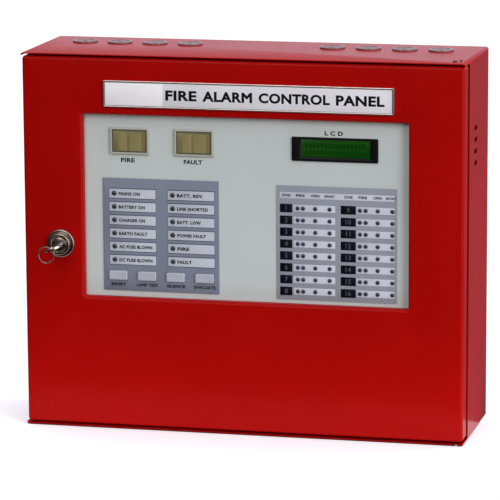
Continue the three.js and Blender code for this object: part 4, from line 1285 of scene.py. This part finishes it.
def key():
    """A stamped key: blade with a milled groove, shoulder, neck and a round bow with its ring hole."""
    half, bow, bow_at, hole, hole_at = 1.1, 9.5, 19, 3.9, 23
    neck = [(3.5, -3.4), (5, -3.0), (5, -0.3), (4.7, 0), (4, 0), (4, 20), (1.6, 24)]
    waist = math.asin(neck[0][0] / bow)
    sweep = [math.radians(90) + waist + (2 * math.pi - 2 * waist) * step / 40 for step in range(41)]
    flat = [(x, y - bow_at) for x, y in (polar(bow, angle) for angle in sweep)]
    flat += neck + [(-x, y) for x, y in reversed(neck)]
    solid, tools = bmesh.new(), bmesh.new()
    loft(solid, [[(x, y, z) for x, y in flat] for z in (-half, half)])
    rod(tools, hole, -4, 4, at(0, -hole_at, 0), 40)
    for side in (-1, 1):
        low, high = sorted((side * 0.7, side * 2))
        brick(tools, (-1.4, -2, low), (1.4, 22, high), 0)
    bm = soften(carved(solid, tools), 0.25, 50)
    bm.transform(AT_REST @ at(0, barrel.front - 1, 0))
    piece("key_stamped", bm, "lock", STEEL, ["key"])


def tube(name, points, radius, body, surface, stands_for, sides):
    """A round tube along a line of points, made as a mesh."""
    rings, previous = [], None
    for index, point in enumerate(points):
        ahead = points[min(index + 1, len(points) - 1)] - points[max(index - 1, 0)]
        ahead.normalize()
        side = ahead.orthogonal() if previous is None else previous - ahead * previous.dot(ahead)
        previous = side.normalized()
        turn = Matrix((previous, ahead.cross(previous), ahead)).transposed().to_4x4()
        rings.append(circle(radius, 0, at(*point, turn), sides))
    bm = bmesh.new()
    skin(bm, rings)
    piece(name, bm, body, surface, stands_for, sharp=60)


def split_ring():
    """Two close turns of spring wire, pressed together, hanging in the key's bow."""
    ring = box_of("key_ring")
    wire, steps = 0.6, 128
    radius = (ring.top - ring.bottom) / 2 - wire - 0.25
    points = []
    for step in range(steps + 1):
        across, up = polar(radius, 4 * math.pi * step / steps + 1.1)
        points.append(Vector(middle(ring)) + Vector((across, (step / steps - 0.5) * 1.25, up)))
    tube("split_ring", points, wire, "key_ring", CHROME, ["key_ring"], 12)


lock_barrel()
lock_plug()
key()
split_ring()

# ---------------------------------------------------------------- wiring loom


def smooth_line(points, per_span=8):
    """A centripetal Catmull-Rom curve through the points."""
    places = [Vector(point) for point in points]
    places = [2 * places[0] - places[1]] + places + [2 * places[-1] - places[-2]]
    line = []
    for a, b, c, d in zip(places, places[1:], places[2:], places[3:]):
        ta, tb = 0.0, (b - a).length ** 0.5
        tc = tb + (c - b).length ** 0.5
        td = tc + (d - c).length ** 0.5
        for step in range(per_span):
            t = tb + (tc - tb) * step / per_span
            ab = a * ((tb - t) / (tb - ta)) + b * ((t - ta) / (tb - ta))
            bc = b * ((tc - t) / (tc - tb)) + c * ((t - tb) / (tc - tb))
            cd = c * ((td - t) / (td - tc)) + d * ((t - tc) / (td - tc))
            abc = ab * ((tc - t) / (tc - ta)) + bc * ((t - ta) / (tc - ta))
            bcd = bc * ((td - t) / (td - tb)) + cd * ((t - tb) / (td - tb))
            line.append(abc * ((tc - t) / (tc - tb)) + bcd * ((t - tb) / (tc - tb)))
    line.append(places[-2])
    return line


CASE_ROUTE = (
    (140, -17.8, -40), (146, -30, -48), (164, -42, -72), (178, -62, -92), (180, -92, -100),
    (183, -109, -100), (194, -116.4, -100), (204, -117, -96.5), (207.5, -117, -87), (207.5, -117, -72),
)
DOOR_ROUTE = (
    (207.5, -117, -71.7), (207.5, -117, -53), (203.5, -116.4, -45.5), (194, -112, -44),
    (182, -104, -44), (168, -101.5, -42), (156, -101.2, -36), (148, -101.2, -24),
)


def loom():
    """The sleeved loom in its two halves, which meet on the hinge line, with ties and end connectors."""
    tie = [(2.3, -1.2), (2.75, -1.1), (2.75, 1.1), (2.3, 1.2)]
    for body, route in (("case", CASE_ROUTE), ("door", DOOR_ROUTE)):
        line = smooth_line(route)
        tube(f"loom_{body}_sleeve", line, 2.4, body, BRAID, [f"loom_{body}_side"], 20)
        ties = bmesh.new()
        for share in (0.3, 0.62):
            index = int(share * len(line))
            along = (line[index + 1] - line[index]).to_track_quat("Z", "Y").to_matrix().to_4x4()
            lathe(ties, tie, at(*line[index], along), 24)
        piece(f"loom_{body}_ties", ties, body, BLACK)
    for body, low, high in (
        ("case", (131, -20.8, -46), (149, -13.1, -33)), ("door", (140, -107.8, -28), (156, -99, -14))
    ):
        plug = brick(bmesh.new(), low, high, 0.5)
        piece(f"loom_{body}_connector", plug, body, WHITE)


loom()

# ---------------------------------------------------------------- floor, light and camera


def floor():
    """A plain pale floor under the panel."""
    glow = {"Emission_Color": (1, 1, 1, 1), "Emission_Strength": 0.18}
    made = Finish("floor_paper", Roughness=0.9, Specular_IOR_Level=0.1, **glow)
    drift = made.remap(made.noise(1.5, 2), 0.3, 0.7)
    made.color(made.blend(drift, linear(250, 250, 250), linear(254, 254, 254)))
    made.relief(made.noise(900, 2), 0.02 * MM)
    bm = bmesh.new()
    corners = ((-0.4, -0.25), (0.7, -0.25), (0.7, -0.03), (-0.4, -0.03))
    bm.faces.new([bm.verts.new((x, y, (case.bottom - 0.4) * MM)) for x, y in corners])
    mesh = bpy.data.meshes.new("floor")
    bm.to_mesh(mesh)
    bm.free()
    mesh.materials.append(made.material)
    sheet = bpy.data.objects.new("floor", mesh)
    bpy.context.scene.collection.objects.link(sheet)


def world():
    """A white studio. Its light comes from above, behind and the right; the front is dim."""
    made = bpy.data.worlds.new("studio")
    bpy.context.scene.world = made
    made.use_nodes = True
    tree = made.node_tree

    def add(kind, output, inputs=None, **settings):
        return add_node(tree, f"ShaderNode{kind}", inputs, **settings).outputs[output]

    where = add("TexCoord", "Generated")
    towards = add("VectorMath", "Value", {0: where, 1: (0.3, 0.6, 0.74)}, operation="DOT_PRODUCT")
    glow = add("MapRange", 0, {0: towards, 1: -0.35, 2: 0.55, 3: 0.04, 4: 1.0})
    height = add("SeparateXYZ", "Z", {0: where})
    horizon = add("MapRange", 0, {0: height, 1: -0.1, 2: 0.1, 3: 0.2, 4: 1.0})
    level = add("Math", 0, {0: glow, 1: horizon}, operation="MULTIPLY")
    seen = add("LightPath", "Is Camera Ray")
    tint = add("Mix", 2, {0: seen, 6: (0.85, 0.9, 1.05, 1), 7: (1, 1, 1, 1)}, data_type="RGBA")
    strength = add("Mix", 0, {0: seen, 2: level, 3: 1.1})
    background = tree.nodes["Background"]
    tree.links.new(tint, background.inputs["Color"])
    tree.links.new(strength, background.inputs["Strength"])


def soft_light(name, place, target, width, height, watts):
    light = bpy.data.lights.new(name, "AREA")
    light.shape = "RECTANGLE"
    light.size = width
    light.size_y = height
    light.energy = watts
    made = bpy.data.objects.new(name, light)
    made.location = place
    made.rotation_euler = (Vector(target) - Vector(place)).to_track_quat("-Z", "Y").to_euler()
    bpy.context.scene.collection.objects.link(made)


def camera():
    """The camera at the product shot's angle: a long lens, to the right of the panel and above it."""
    yaw, pitch, roll = (math.radians(angle) for angle in (13.6, -10.9, 0.33))
    turn = Matrix.Rotation(yaw, 4, "Z") @ Matrix.Rotation(pitch, 4, "X") @ Matrix.Rotation(roll, 4, "Y")
    lens = bpy.data.cameras.new("camera")
    lens.sensor_width = 36
    lens.lens = 244.37
    lens.clip_start = 0.05
    lens.clip_end = 60
    made = bpy.data.objects.new("camera", lens)
    made.matrix_world = Matrix.Translation((0.769, -3.270, 0.621)) @ turn @ FRONTWARD
    bpy.context.scene.collection.objects.link(made)
    bpy.context.scene.camera = made


floor()
world()
soft_light("key_light", (2.6, -2.3, 0.9), (0, -0.1, 0), 1.4, 4.0, 68)
soft_light("fill_light", (-0.5, -2.9, 1.5), (0, -0.1, 0), 1.6, 1.6, 35)
soft_light("side_light", (3.0, -0.6, 0.5), (0, 0, 0), 1.2, 1.8, 18)
soft_light("top_light", (0.2, 0.6, 2.4), (0, 0, 0), 3.0, 3.0, 20)
camera()
bpy.context.scene.view_settings.view_transform = "Standard"
